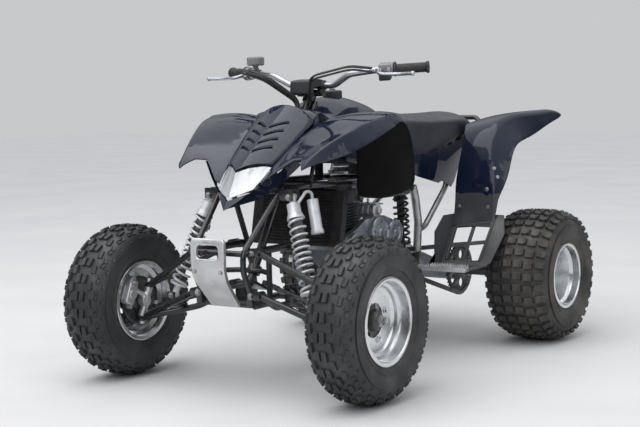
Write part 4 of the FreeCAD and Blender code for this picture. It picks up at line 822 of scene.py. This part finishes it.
@dataclass
class Rim(WheelPart):
    """Polished rim turned from its section, with rolled lips, four nuts and a valve.

    Attributes:
        seat: Radius of the bead seats.
        half: Half of its width.
        rise: Height of the lips' ends over the bead seats.
        well: Points between the bead seats, as place and depth under the seat.
        face: Points from the outer lip over the disc and back, in the same way.
        nut_circle: Radius of the circle of nuts.
        nut_x: Place of the nuts across the rim.
        valve_r: Radius of the valve's foot.
    """

    seat: float
    half: float
    rise: float
    well: Profile
    face: Profile
    nut_circle: float
    nut_x: float
    valve_r: float

    def profile(self) -> Profile:
        """Section from the inner lip outward and back."""
        half, rise = self.half, self.rise
        lip = [(half, rise), (half - 0.0015, rise + 0.0035), (half - 0.004, rise + 0.0045),
               (half - 0.0055, rise + 0.003), (half - 0.006, 0)]
        points = [(-x, high) for x, high in lip] + [(x, -deep) for x, deep in self.well] + lip[::-1]
        return [(x, self.seat + high) for x, high in points + [(x, -deep) for x, deep in self.face]]

    def build(self) -> None:
        """Turn the rim, add the nuts and the valve, and copy it to its places."""
        parts = [smooth(lathe(self.name, self.profile(), 120, closed=True), 28)]
        nut = bolt(0.0085, 0.01)
        parts += [placed(nut, around(self.nut_x, self.nut_circle, index * math.pi / 2 + 0.35), OUT)
                  for index in range(4)]
        x, r = -self.half * 0.35, self.valve_r
        parts.append(round_bar((x, 0, r), (x + 0.02, 0, r - 0.012), 0.0035, 12))
        bpy.data.objects.remove(nut)
        self.mount(joined(self.name, parts))


@dataclass
class Wheels:
    """All four wheels."""

    front_centre: Point = (0.49, -0.655, 0.26)
    rear_centre: Point = (0.47, 0.59, 0.248)
    front_knobs: tuple[Knob, ...] = (
        Knob(0, 0.009, 0, 0.0165, 0.031, 0.0088, 0),
        Knob(0.0235, 0.01, 6, 0.016, 0.03, 0.0088, 0.5, 5),
        Knob(0.0465, 0.0152, 21, 0.0155, 0.029, 0.009, 0.1, -6),
        Knob(0.0655, 0.0258, 40, 0.012, 0.015, 0.0078, 0.44, 14),
        Knob(0.0662, 0.0264, 40, 0.012, 0.015, 0.0078, 0.78, -14),
        Knob(0.0795, 0.0415, 62, 0.0085, 0.011, 0.005, 0.12, 0))
    rear_knobs: tuple[Knob, ...] = (
        Knob(0.0205, 0.0118, 1, 0.034, 0.027, 0.0114, 0),
        Knob(0.0605, 0.0145, 6, 0.034, 0.027, 0.0114, 0.12),
        Knob(0.0985, 0.0265, 27, 0.035, 0.026, 0.012, 0))
    front_well: Profile = ((-0.05, 0.001), (-0.04, 0.014), (0.03, 0.014), (0.043, 0.001))
    rear_well: Profile = ((-0.089, 0.001), (-0.079, 0.018), (-0.01, 0.018), (0.006, 0.012), (0.073, 0.012),
                          (0.083, 0.001))
    front_face: Profile = (
        (0.0745, 0.001), (0.072, 0.0045), (0.046, 0.006), (0.04, 0.0085), (0.036, 0.018), (0.026, 0.021),
        (0.023, 0.026), (0.019, 0.036), (0.019, 0.073), (0.0175, 0.0745), (0.0145, 0.0745), (0.014, 0.073),
        (0.014, 0.03), (0.016, 0.019), (-0.038, 0.018), (-0.047, 0.005), (-0.0735, 0.004))
    rear_face: Profile = (
        (0.1125, 0.001), (0.11, 0.0045), (0.085, 0.005), (0.077, 0.014), (0.073, 0.016), (0.008, 0.016),
        (-0.002, 0.019), (-0.008, 0.022), (-0.04, 0.024), (-0.056, 0.032), (-0.061, 0.042), (-0.061, 0.07),
        (-0.063, 0.0715), (-0.066, 0.07), (-0.066, 0.036), (-0.056, 0.022), (-0.077, 0.022), (-0.087, 0.005),
        (-0.1115, 0.004))

    def build(self) -> None:
        """Build tyres and rims of both axles."""
        x, y, z = self.front_centre
        for side, centre in (("left", (x, y, z)), ("right", (-x, y, z))):
            Tyre("tread_front_" + side, "front_tyre_" + side, Look.TYRE, (centre,), tip_r=0.26, crown=0.0095,
                 half=0.089, bead_r=0.1273, bead_x=0.069, pitches=27, stagger=0.5, knobs=self.front_knobs).build()
            Rim("rim_skin_front_" + side, "front_rim_" + side, Look.FRONT_RIM, (centre,), seat=0.127, half=0.075,
                rise=0.007, well=self.front_well, face=self.front_face, nut_circle=0.066, nut_x=0.0195,
                valve_r=0.112).build()
        x, y, z = self.rear_centre
        pair = ((x, y, z), (-x, y, z))
        Tyre("tread_rear", "rear_tyres", Look.REAR_TYRE, pair, tip_r=0.248, crown=0.012, half=0.128, bead_r=0.1143,
             bead_x=0.107, pitches=34, stagger=0, knobs=self.rear_knobs).build()
        Rim("rim_skin_rear", "rear_rims", Look.REAR_RIM, pair, seat=0.114, half=0.113, rise=0.006,
            well=self.rear_well, face=self.rear_face, nut_circle=0.052, nut_x=-0.06, valve_r=0.098).build()


@dataclass
class Springs:
    """Coil springs of round wire on the dampers, each from its lower to its upper eye."""

    front_foot: Point = (0.28, -0.655, 0.288)
    front_head: Point = (0.163, -0.585, 0.622)
    rear_foot: Point = (0, 0.372, 0.332)
    rear_head: Point = (0, 0.35, 0.59)

    def helix(self, name: str, foot: Point, head: Point, seats: tuple[float, float], radius: float, wire: float,
              turns: float) -> Item:
        """Wire wound about the damper, its turns spread a little wider towards the ends.

        Args:
            name: Name of the piece.
            foot: Lower eye of the damper.
            head: Upper eye of the damper.
            seats: Distances of the lower and the upper seat from the foot.
            radius: Radius to the middle of the wire.
            wire: Radius of the wire.
            turns: Number of turns.

        Returns:
            The spring.
        """
        start, (low, high) = Vector(foot), seats
        axis = (Vector(head) - start).normalized()
        side = axis.cross(Vector(AFT)).normalized() if abs(axis.x) > 0.01 else Vector(OUT)
        other = axis.cross(side)
        count = int(turns * 20)
        points = []
        for index in range(count + 1):
            t = index / count
            rise = (t - 0.5) * (0.86 + 0.56 * (t - 0.5) ** 2) + 0.5
            angle = t * turns * math.tau
            along = low + wire + (high - low - 2 * wire) * rise
            points.append(start + axis * along + (side * math.cos(angle) + other * math.sin(angle)) * radius)
        return tube_along(name, points, wire)

    def build(self) -> None:
        """Build both front springs and the rear one."""
        left = self.helix("spring_left", self.front_foot, self.front_head, (0.0443, 0.2857), 0.0255, 0.0042, 10.5)
        stand_in(both_sides("spring_coils", left), Look.SILVER, "front_springs")
        rear = self.helix("spring_rear", self.rear_foot, self.rear_head, (0.0403, 0.2047), 0.026, 0.005, 6.5)
        stand_in(rear, Look.DARK_STEEL, "rear_spring")


@dataclass
class Saddle:
    """Vinyl saddle with a soft crowned form."""

    voxel: float = 0.006

    def build(self) -> None:
        """Soften the saddle's form and cover it in vinyl."""
        seat = stand_in(softened("seat", "saddle_cover", self.voxel, 14), Look.VINYL, "seat")


@dataclass
class BatteryTray:
    """Ribbed battery tray with its strap under the rear half of the saddle."""

    front: float = 0.37
    rear: float = 0.72
    half: float = 0.064
    low: float = 0.655
    ribs: int = 6

    def roof(self, y: float) -> float:
        """Height of the saddle's underside above a place on the middle plane."""
        hit = surface("seat", (0, y, 0.3), UP)
        return hit[0].z + 0.004 if hit else 0.735

    def band(self, behind: float, long: float, over: float, low: float, high: float, edge: float) -> Item:
        """Rounded band across the tray that stands over its sides."""
        wide, y = self.half + over, self.front + behind
        return block((-wide, y, self.low + low), (wide, y + long, high), edge, round(edge * 1000))

    def build(self) -> None:
        """Fit the tray up to the saddle's underside."""
        ends = (self.roof(self.front), self.roof(self.rear))
        top = min(ends)
        tray = box((-self.half, self.front, self.low), (self.half, self.rear, 0.72))
        for point in tray.data.vertices:
            share = (point.co.y - self.front) / (self.rear - self.front)
            if point.co.z > 0.7:
                point.co.z = ends[0] + (ends[1] - ends[0]) * share
        parts = [bevelled(tray, 0.008, 3)]
        parts += [self.band(0.03 + 0.055 * step, 0.009, 0.004, 0.004, top - 0.012, 0.002)
                  for step in range(self.ribs)]
        parts.append(self.band(0.11, 0.025, 0.007, -0.003, top - 0.006, 0.003))
        dress(smooth(joined("battery_tray", parts)), Look.BLACK)


@dataclass
class Castings:
    """Cast pieces with the soft edges of a mould: node, look, mesh size and rounds of smoothing."""

    rows: tuple[tuple[str, Look, float, int], ...] = (
        ("front_bumper", Look.BUMPER, 0.0018, 14), ("knuckle_left", Look.BUMPER, 0.002, 5),
        ("knuckle_right", Look.BUMPER, 0.002, 5), ("bar_housings", Look.HOUSING, 0.0018, 6),
        ("bar_clamps", Look.BLACK, 0.0018, 6))

    def build(self) -> None:
        """Soften every casting."""
        for node, look, voxel, rounds in self.rows:
            stand_in(softened(node, node + "_cast", voxel, rounds), look, node)


@dataclass
class Panels:
    """Gloss body panels with matte wheel sides and grained lower aprons."""

    gloss: tuple[str, ...] = ("hood", "nose_cowl", "front_fenders", "tank_cover", "rear_fenders", "side_covers")
    apron_z: float = 0.56

    def matte(self, node: str, face: bpy.types.MeshPolygon) -> bool:
        """Whether a face looks at a wheel or at the ground."""
        turn, place = face.normal, face.center
        if node == "front_fenders":
            return turn.z < -0.08 or (turn.y < -0.25 and turn.z < 0.3 and place.y > -0.45)
        if node == "rear_fenders":
            return turn.z < -0.25 or (turn.y > 0.3 and turn.z < 0.15)
        return turn.z < -0.6

    def build(self) -> None:
        """Give each panel its smooth skin: gloss, matte or, on the aprons, grained."""
        for node in self.gloss:
            skin = stand_in(polished_copy(node, 32, 0.0015), Look.PANEL, node)
            coat(skin, Look.PANEL, Look.UNDER, Look.GUARD)
            for face in skin.data.polygons:
                apron = node == "rear_fenders" and face.center.z < self.apron_z
                face.material_index = 1 if self.matte(node, face) else 2 * apron


@dataclass
class Louvres:
    """Raised blades behind the hood's slots and a dark liner below them.

    Attributes:
        count: Pairs of slots.
        first_y: Place of the lowest pair on the middle plane.
        pitch: Distance between pairs.
        slant: Turn of a slot in degrees.
        rear: Distance of the blade behind the slot's front edge.
        drop: Distance of the liner under the hood's surface.
        steps: Parts of a line along a slot.
    """

    count: int = 4
    first_y: float = -0.596
    pitch: float = 0.032
    slant: float = 34
    rear: float = 0.0105
    drop: float = 0.0095
    steps: int = 8

    def along(self, index: int, lead: float, first: float, reach: float) -> list[Vector]:
        """Places on the hood along one slot.

        Args:
            index: Number of the slot from the lowest.
            lead: Distance of the line behind the slot's front edge.
            first: Distance of the first place from the middle plane, along the slot.
            reach: Length of the line.

        Returns:
            The places, from the middle outward.
        """
        slant = math.radians(self.slant)
        way = Vector((math.cos(slant), math.sin(slant), 0))
        foot = Vector((0, self.first_y + self.pitch * index, 1.1)) + Vector((-way.y, way.x, 0)) * lead
        hits = [surface("hood", foot + way * (first + reach * step / self.steps), DOWN)
                for step in range(self.steps + 1)]
        return [hit[0] for hit in hits if hit]

    def liner(self) -> Item:
        """Dark sheet that hangs close under the slots of one side."""
        spots = []
        for index in range(self.count):
            for lead in (-0.006, self.rear + 0.002):
                spots += [spot + Vector(DOWN) * self.drop for spot in self.along(index, lead, 0.006, 0.0765)]
        bpy.ops.mesh.primitive_grid_add(x_subdivisions=self.steps, y_subdivisions=2 * self.count - 1, size=1)
        sheet = bpy.context.object
        for point, spot in zip(sheet.data.vertices, spots, strict=True):
            point.co = spot
        return modified(sheet, "SOLIDIFY", thickness=0.0015)

    def build(self) -> None:
        """Lay a blade behind each slot, on the hood's surface, and the liner below, on both sides."""
        blades = []
        for index in range(self.count):
            points = self.along(index, self.rear, 0.011, 0.0715)
            sinks = [0.0018] + [0.0004] * (len(points) - 2) + [0.0018]
            blades.append(tube_along("blade", [p + Vector(DOWN) * sink for p, sink in zip(points, sinks)], 0.0022))
        dress(both_sides("louvre_blades", joined("louvre_blades", blades)), Look.PANEL)
        dress(smooth(both_sides("louvre_liner", self.liner())), Look.UNDER)


@dataclass
class Grips:
    """Ribbed rubber grips with an end bead and an inner flange."""

    mouth: Point = (0.409, -0.134, 1.029)
    ribs: int = 19
    pitch: float = 0.005

    def build(self) -> None:
        """Turn one grip, set it on the bar and mirror it."""
        profile = [(-0.006, 0.0083), (-0.006, 0.0185), (-0.0045, 0.02), (0.0015, 0.02), (0.003, 0.0185)]
        for index in range(self.ribs):
            x = 0.005 + index * self.pitch
            profile += [(x, 0.016), (x + 0.0008, 0.0169), (x + 0.003, 0.0169), (x + 0.0038, 0.016)]
        profile += [(0.102, 0.0165), (0.105, 0.0235), (0.1065, 0.025), (0.1105, 0.025), (0.112, 0.0235),
                    (0.112, 0.0113), (0, 0.0113), (0, 0.0083)]
        grip = smooth(lathe("grip", profile, 40, closed=True))
        grip.data.transform(Matrix.Translation(self.mouth) @ turned(-Vector(BAR_WAY), "X", "Z"))
        stand_in(both_sides("grip_ribs", grip), Look.GRIP, "grips")


@dataclass
class HubNuts:
    """Castle nuts on the axle ends, with washer, stub and split pin."""

    rows: tuple[tuple[str, Point], ...] = (
        ("front_hub_left", (0.7, -0.655, 0.26)), ("front_hub_right", (-0.7, -0.655, 0.26)),
        ("rear_axle", (0.7, 0.59, 0.248)), ("rear_axle", (-0.7, 0.59, 0.248)))

    def nut(self) -> Item:
        """One castle nut, its axis along X, seated at X 0."""
        washer = cross_bar(0, 0.003, 0, 0, 0.0175, 32)
        bpy.ops.mesh.primitive_cylinder_add(vertices=6, radius=0.0155, depth=0.012, rotation=(0, math.pi / 2, 0),
                                            location=(0.009, 0, 0))
        parts = [washer, bevelled(settle(bpy.context.object), 0.0012), cross_bar(0.012, 0.024, 0, 0, 0.0085, 20)]
        for index in range(6):
            _, y, z = around(0, 0.0105, index * math.pi / 3)
            parts.append(block((0.0145, y - 0.0024, z - 0.0024), (0.0205, y + 0.0024, z + 0.0024), 0.0006, 1))
        parts.append(round_bar((0.0175, -0.0165, 0), (0.0175, 0.0165, 0), 0.0012, 10))
        return joined("nut", parts)

    def build(self) -> None:
        """Seat a nut at the outer end of each hub and of the rear axle."""
        nut = self.nut()
        for node, start in self.rows:
            side, way = ("left", INWARD) if start[0] > 0 else ("right", OUT)
            spot, _ = surface(node, start, way)
            item = copy_of(nut, facing_out(spot))
            item.name = "hub_nut_%s_%s" % (node, side)
            dress(item, Look.STEEL, body_of(node))
        bpy.data.objects.remove(nut)


@dataclass
class Footrests:
    """Rows of teeth on the upper edges of both footpegs."""

    inner: float = 0.235
    outer: float = 0.38
    count: int = 15
    edges: tuple[float, ...] = (0.152, 0.182)

    def build(self) -> None:
        """Stand a tooth wherever a ray from above meets the peg, on both sides."""
        deselect()
        bpy.ops.mesh.primitive_cone_add(vertices=6, radius1=0.0058, radius2=0.0014, depth=0.012,
                                        location=(0, 0, 0.005))
        tooth = settle(bpy.context.object)
        teeth = []
        for index in range(self.count):
            x = self.inner + (self.outer - self.inner) * index / (self.count - 1)
            hits = [surface("footpegs", (x, y, 0.6), DOWN) for y in self.edges]
            teeth += [placed(tooth, hit[0], UP) for hit in hits if hit]
        bpy.data.objects.remove(tooth)
        dress(both_sides("peg_teeth", joined("peg_teeth", teeth)), Look.STEEL)


@dataclass
class Controls:
    """Switch box on the left bar and the doubled control cables."""

    lean: float = 10

    def part(self, middle: Point, size: Point) -> Item:
        """Rounded box across the bar, leaning forward."""
        item = block(tuple(-s / 2 for s in size), tuple(s / 2 for s in size), min(size) * 0.16, 3)
        item.data.transform(Matrix.Translation(middle) @ turned(BAR_WAY, "X", "Z") @ spun(self.lean, "X"))
        return smooth(item)

    def build(self) -> None:
        """Build the boxes and lay a second cable beside each control cable."""
        upper = self.part((0.281, -0.193, 1.03), (0.042, 0.046, 0.03))
        dress(joined("switch_box_upper", [upper]), Look.HOUSING, "steering")
        lower = self.part((0.281, -0.195, 1.004), (0.04, 0.042, 0.03))
        button = round_bar((0.279, -0.226, 1.008), (0.279, -0.214, 1.008), 0.006, 20)
        dress(joined("switch_box_lower", [lower, button]), Look.BLACK, "steering")
        cables = [free_copy("control_cables", "cable", shift)
                  for shift in ((0.004, -0.009, 0.01), (-0.003, 0.008, 0.012))]
        dress(smooth(joined("cable_pair", cables), 60), Look.GRIP, "steering")


@dataclass
class BrakeAndBalls:
    """Front calipers and ball-joint nuts on the knuckles.

    Attributes:
        middle: Middle of the left caliper, its X set by the hub.
        tilt: Turn of the caliper about X, in radians.
        joints: Starts and directions of the rays that seat the nuts.
    """

    middle: Point = (0, -0.725, 0.29)
    tilt: float = math.atan2(0.03, 0.07)
    joints: tuple[tuple[Point, Point], ...] = (
        ((0.402, -0.642, 0.42), DOWN), ((0.424, -0.662, 0.08), UP), ((0.417, -0.595, 0.34), DOWN))

    def caliper(self) -> Item:
        """Caliper of the left wheel: inner half, piston, bridge over the disc's edge, lugs and bleed nipple."""
        inner, _ = surface("front_hub_left", (0.3, *self.middle[1:]), OUT)
        face = inner.x - 0.006
        parts = [block((face - 0.03, -0.021, -0.036), (face, 0.018, 0.036), 0.005, 3),
                 bevelled(cross_bar(face - 0.036, face - 0.028, 0, 0, 0.0155, 32), 0.0015),
                 block((face - 0.012, -0.0285, -0.026), (face + 0.02, -0.0225, 0.026), 0.002)]
        parts += [cross_bar(face - 0.026, face - 0.01, 0.01, z, 0.0075, 20) for z in (-0.041, 0.041)]
        parts.append(cross_bar(face - 0.04, face - 0.026, -0.012, 0.024, 0.0028, 12))
        whole = joined("caliper", parts)
        whole.data.transform(Matrix.Translation(self.middle) @ Matrix.Rotation(-self.tilt, 4, "X"))
        return smooth(whole)

    def build(self) -> None:
        """Set a caliper and the nuts on both knuckles."""
        left = [self.caliper()]
        nut = bolt(0.0088, 0.009)
        for start, way in self.joints:
            hit = surface("knuckle_left tie_rod_left upper_arms lower_arms", start, way)
            if hit:
                left.append(placed(nut, hit[0], -Vector(way)))
        bpy.data.objects.remove(nut)
        whole = joined("knuckle_trim_left", left)
        twin = joined("knuckle_trim_right", [mirrored(whole)])
        dress(whole, Look.BUMPER, "knuckle_left")
        dress(twin, Look.BUMPER, "knuckle_right")


@dataclass
class GuardBeads:
    """Moulded beads round the windows of the heel guards, through points (x, z)."""

    loop: Profile = (
        (0.221, 0.322), (0.219, 0.38), (0.219, 0.428), (0.226, 0.438), (0.3, 0.448), (0.36, 0.457), (0.371, 0.448),
        (0.366, 0.39), (0.359, 0.322))

    def build(self) -> None:
        """Lay one bead on the left guard and mirror it."""
        points = []
        for x, z in self.loop:
            hit = surface("heel_guards", (x, 0.05, z), AFT)
            if hit:
                points.append((x, hit[0].y - 0.001, z))
        dress(both_sides("guard_beads", tube_along("bead", points, 0.0045)), Look.GUARD)


@dataclass
class EngineTrim:
    """Rims, webs and screws of the round engine covers, and the starter motor.

    Attributes:
        covers: Place (x, y), height over the crankcase's foot, radius and number of webs.
    """

    covers: tuple[tuple[float, float, float, float, int], ...] = (
        (0.14, -0.15, 0.128, 0.08, 6), (0.132, 0.004, 0.192, 0.058, 5), (0.128, 0.108, 0.184, 0.044, 4),
        (-0.132, -0.09, 0.095, 0.086, 7), (-0.112, 0.05, 0.07, 0.056, 5))

    def starter(self, base: float) -> Item:
        """Starter motor across the crankcase behind the barrel, with rings, tie screws, terminal and foot."""
        y, z = 0.03, base + 0.272
        parts = [bevelled(cross_bar(0.006, 0.098, y, z, 0.025, 40), 0.002)]
        for x in (0.002, 0.024, 0.046, 0.068, 0.09):
            parts.append(bevelled(cross_bar(x, x + 0.009, y, z, 0.0285, 40), 0.003, 3))
        parts.append(bevelled(cross_bar(0.096, 0.112, y, z, 0.0135, 28), 0.003, 3))
        for dy, dz in ((-0.021, 0.022), (0.021, 0.022), (-0.021, -0.022)):
            parts.append(cross_bar(0.004, 0.11, y + dy, z + dz, 0.0028, 12))
        parts.append(round_bar((0.06, y, z + 0.026), (0.06, y, z + 0.042), 0.0045, 16))
        parts.append(block((0.02, y - 0.016, base + 0.245), (0.086, y + 0.016, z - 0.02), 0.002))
        return smooth(joined("starter_motor", parts))

    def cover(self, spot: Point, radius: float, count: int, screw: Item) -> Item:
        """Rim, boss, webs and screws of one round cover.

        Args:
            spot: Middle of the cover.
            radius: Its radius.
            count: Number of webs.
            screw: Screw to copy.

        Returns:
            The trim in its place, facing away from the middle plane.
        """
        rim = [(-0.006, radius + 0.003), (-0.003, radius + 0.0055), (0.0005, radius + 0.0035),
               (0.0035, radius - 0.006), (0.0035, radius - 0.014), (0.0005, radius - 0.02), (-0.003, radius - 0.022)]
        boss = [(-0.002, 0), (0.004, 0), (0.0045, radius * 0.26), (0.0005, radius * 0.34), (-0.002, radius * 0.34)]
        parts = [smooth(lathe("rim", rim, 56, closed=True)), smooth(lathe("boss", boss, 36))]
        for index in range(count):
            angle = index * math.tau / count + 0.4
            web = block((-0.002, radius * 0.3, -0.0028), (0.0028, radius * 0.84, 0.0028), 0.0009, 1)
            web.data.transform(Matrix.Rotation(angle, 4, "X"))
            parts += [web, placed(screw, around(0.003, radius - 0.01, angle), OUT)]
        whole = joined("cover", parts)
        whole.data.transform(facing_out(spot))
        return whole

    def build(self) -> None:
        """Trim every cover at its place on the crankcase and add the starter."""
        base = min(corner[2] for corner in frame["nodes"]["engine_case"].bound_box)
        screw = bolt(0.0052, 0.006)
        trims = [self.cover((x, y, base + rise), radius, count, screw) for x, y, rise, radius, count in self.covers]
        bpy.data.objects.remove(screw)
        dress(joined("engine_cover_trim", trims), Look.CAST)
        dress(self.starter(base), Look.SILVER)


@dataclass
class Fasteners:
    """Bolt heads seated on the surface that a ray meets.

    Attributes:
        rows: Nodes that may be met, ray start, ray direction, head radius; each is set on both sides.
    """

    rows: tuple[tuple[str, Point, Point, float], ...] = (
        ("frame upper_arms", (0.115, -0.9, 0.455), AFT, 0.0085),
        ("frame lower_arms", (0.107, -0.9, 0.319), AFT, 0.0085),
        ("frame upper_arms", (0.115, -0.4, 0.455), AHEAD, 0.008),
        ("frame front_dampers", (0.163, -0.8, 0.622), AFT, 0.008),
        ("lower_arms front_dampers", (0.28, -0.8, 0.288), AFT, 0.008),
        ("side_covers", (0.4, 0.162, 0.62), INWARD, 0.0062),
        ("side_covers", (0.4, 0.056, 0.6), INWARD, 0.0055),
        ("rear_fenders", (0.34, 0.1, 0.578), AFT, 0.006),
        ("rear_fenders", (0.374, 0.1, 0.623), AFT, 0.005),
        ("rear_fenders", (0.36, 0.1, 0.655), AFT, 0.005),
        ("heel_guards rear_fenders", (0.226, 0.1, 0.512), AFT, 0.006),
        ("heel_guards rear_fenders", (0.347, 0.1, 0.512), AFT, 0.006),
        ("pivot_uprights", (0.5, 0.237, 0.36), INWARD, 0.0095),
        ("pivot_uprights", (0.5, 0.232, 0.455), INWARD, 0.0065),
        ("front_bumper", (0.052, -1.1, 0.4), AFT, 0.0058))

    def build(self) -> None:
        """Cast each ray, seat a head where it meets the piece, on both sides."""
        heads = []
        for nodes, start, way, radius in self.rows:
            shape = bolt(radius, radius * 0.75)
            for side in (1, -1):
                hit = surface(nodes, (side * start[0], *start[1:]), (side * way[0], *way[1:]))
                if hit:
                    heads.append(placed(shape, *hit))
                else:
                    LOG.warning("no surface for a bolt at %s", start)
            bpy.data.objects.remove(shape)
        dress(joined("bolt_heads", heads), Look.STEEL)


@dataclass
class Remaining:
    """CAD nodes whose shape is right: each gets a smooth copy and its finish.

    Attributes:
        looks: Finishes and the nodes that have them.
        plain: Nodes that keep their own mesh.
        coils: Stretch of a front damper inside its spring, from its lower eye, which is painted dark as the spring's
            shade.
        coil_r: Inner radius of a front spring.
    """

    looks: tuple[tuple[Look, str], ...] = (
        (Look.BLACK, "airbox fuel_cap"), (Look.BRIGHT, "hand_levers handlebar"), (Look.BUMPER, "footpegs"),
        (Look.CAST, "carburettor engine_case muffler rear_caliper swingarm"), (Look.CORE, "radiator"),
        (Look.DARK_STEEL, "chain front_hub_left front_hub_right output_sprocket rear_axle rear_damper rear_sprocket"),
        (Look.DARK_STEEL, "tie_rod_left tie_rod_right"), (Look.FINS, "engine_cylinder"),
        (Look.FRAME, "frame grab_bar lower_arms steering_stem upper_arms"), (Look.GRIP, "control_cables"),
        (Look.GUARD, "heel_guards"), (Look.LENS, "headlight"), (Look.MIRROR, "lamp_bowl"), (Look.RED, "tail_light"),
        (Look.SILVER, "front_dampers"), (Look.STEEL, "exhaust_pipe pivot_uprights rear_brake_disc subframe"))
    plain: tuple[str, ...] = ("headlight", "lamp_bowl", "chain", "control_cables")
    coils: tuple[float, float] = (0.052, 0.282)
    coil_r: float = 0.024

    def in_coil_shade(self, place: Vector) -> bool:
        """Whether a place on a front damper lies inside its spring, where it gets painted shade."""
        foot, head = Vector(Springs.front_foot), Vector(Springs.front_head)
        offset = Vector((abs(place.x), place.y, place.z)) - foot
        axis = (head - foot).normalized()
        along = offset.dot(axis)
        return self.coils[0] < along < self.coils[1] and (offset - axis * along).length < self.coil_r

    def build(self) -> None:
        """Dress every node that has a look here."""
        for node, look in sorted((node, look) for look, nodes in self.looks for node in nodes.split()):
            if node in self.plain:
                coat(frame["nodes"][node], look)
                continue
            skin = stand_in(polished_copy(node, 35, 0.0015 if node == "heel_guards" else 0.0006), look, node)
            if node == "front_dampers":
                # Painted shade: faces inside the spring get dark steel, standing for the coils' shade on the silver
                # damper.
                coat(skin, look, Look.DARK_STEEL)
                for face in skin.data.polygons:
                    face.material_index = int(self.in_coil_shade(face.center))


@dataclass
class Studio:
    """Floor, soft light and the camera at the photograph's angle.

    Attributes:
        eye: Place of the camera.
        yaw: Turn of the camera to the bike's left, in degrees.
        pitch: Tilt of the camera down, in degrees.
        roll: Turn of the camera about its own axis, in degrees.
        lens: Focal length in millimetres.
        sky: Colours of the light from straight below to straight above.
        backdrop: Colour behind the bike.
        lamps: Name, place, size, power and aim of the soft lamps.
    """

    eye: Point = (2.75165, -4.20665, 0.96915)
    yaw: float = 34.416
    pitch: float = 5.16
    roll: float = -1.292
    lens: float = 78.54
    sky: tuple[tuple[float, Colour], ...] = (
        (0, (0.08, 0.08, 0.082)), (0.5, (0.1, 0.102, 0.106)), (0.6, (0.2, 0.205, 0.215)),
        (0.74, (0.66, 0.68, 0.71)), (1, (1.28, 1.3, 1.34)))
    backdrop: Colour = (0.571, 0.583, 0.597)
    lamps: tuple[tuple[str, Point, tuple[float, float], float, Point], ...] = (
        ("sky_soft", (-1, -2, 6), (7, 7), 240, (0, 0, 0.4)),
        ("front_soft", (1, -6, 3), (5, 3), 60, (0, -0.2, 0.4)),
        ("side_soft", (6, 1, 2.6), (4, 3), 40, (0, 0, 0.4)))

    def camera(self) -> None:
        """Camera from the angles solved on the photograph."""
        data = bpy.data.cameras.new("camera")
        data.sensor_width = 36
        data.lens = self.lens
        item = linked("camera", data)
        item.matrix_world = (Matrix.Translation(self.eye) @ spun(self.yaw, "Z") @ spun(90 - self.pitch, "X")
                             @ spun(self.roll, "Z"))
        bpy.context.scene.camera = item

    def light(self) -> None:
        """Large soft area lamps, each aimed at a point."""
        for name, place, size, power, aim in self.lamps:
            data = bpy.data.lights.new(name, "AREA")
            data.shape = "RECTANGLE"
            data.size, data.size_y = size
            data.energy = power
            item = linked(name, data)
            item.location = place
            item.rotation_euler = (Vector(aim) - Vector(place)).to_track_quat("-Z", "Y").to_euler()

    def world(self) -> None:
        """Overcast sky: bright above, darker below the horizon, plain pale for the camera."""
        bpy.context.scene.world = bpy.data.worlds.new("sky")
        shader = Shader(bpy.context.scene.world)
        height = shader.wire("SeparateXYZ", {0: shader.places["Generated"]}, 2)
        share = shader.wire("MapRange", {"Value": height, "From Min": -1})
        colour = shader.wire("ValToRGB", {0: share}, stops=self.sky)
        glow = shader.wire("Background", {"Color": colour, "Strength": 1})
        plain = shader.wire("Background", {"Color": self.backdrop})
        seen = shader.wire("LightPath", {}, "Is Camera Ray")
        shader.add("OutputWorld", {0: shader.wire("MixShader", {0: seen, 1: glow, 2: plain})})

    def floor(self) -> None:
        """Plain pale floor."""
        deselect()
        bpy.ops.mesh.primitive_plane_add(size=40, location=(0, 0, 0))
        ground = bpy.context.object
        ground.name = "floor"
        shader = Shader(bpy.data.materials.new("floor_pale"))
        tone = shader.mix(shader.spots(1.5, 6).within(0.3, 0.7), (0.62, 0.62, 0.62), (0.66, 0.66, 0.655))
        ground.data.materials.append(shader.finish({
            "Base Color": tone, "Roughness": 0.75, "Normal": shader.bump(shader.spots(220), 0.0008)}))

    def build(self) -> None:
        """Set the view, light and floor."""
        bpy.context.scene.view_settings.view_transform = "Standard"
        self.camera()
        self.world()
        self.floor()
        self.light()


def main() -> None:
    """Build the view, then every sub-assembly in order."""
    for part in (Studio, Wheels, HubNuts, Springs, BatteryTray, Saddle, Louvres, Panels, Castings, Grips, Footrests,
                 Controls, BrakeAndBalls, GuardBeads, EngineTrim, Fasteners, Remaining):
        part().build()
        LOG.info("built %s", part.__name__)


logging.basicConfig(level=logging.INFO, format="%(name)s: %(message)s")
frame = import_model()

if __name__ == "__main__":
    main()
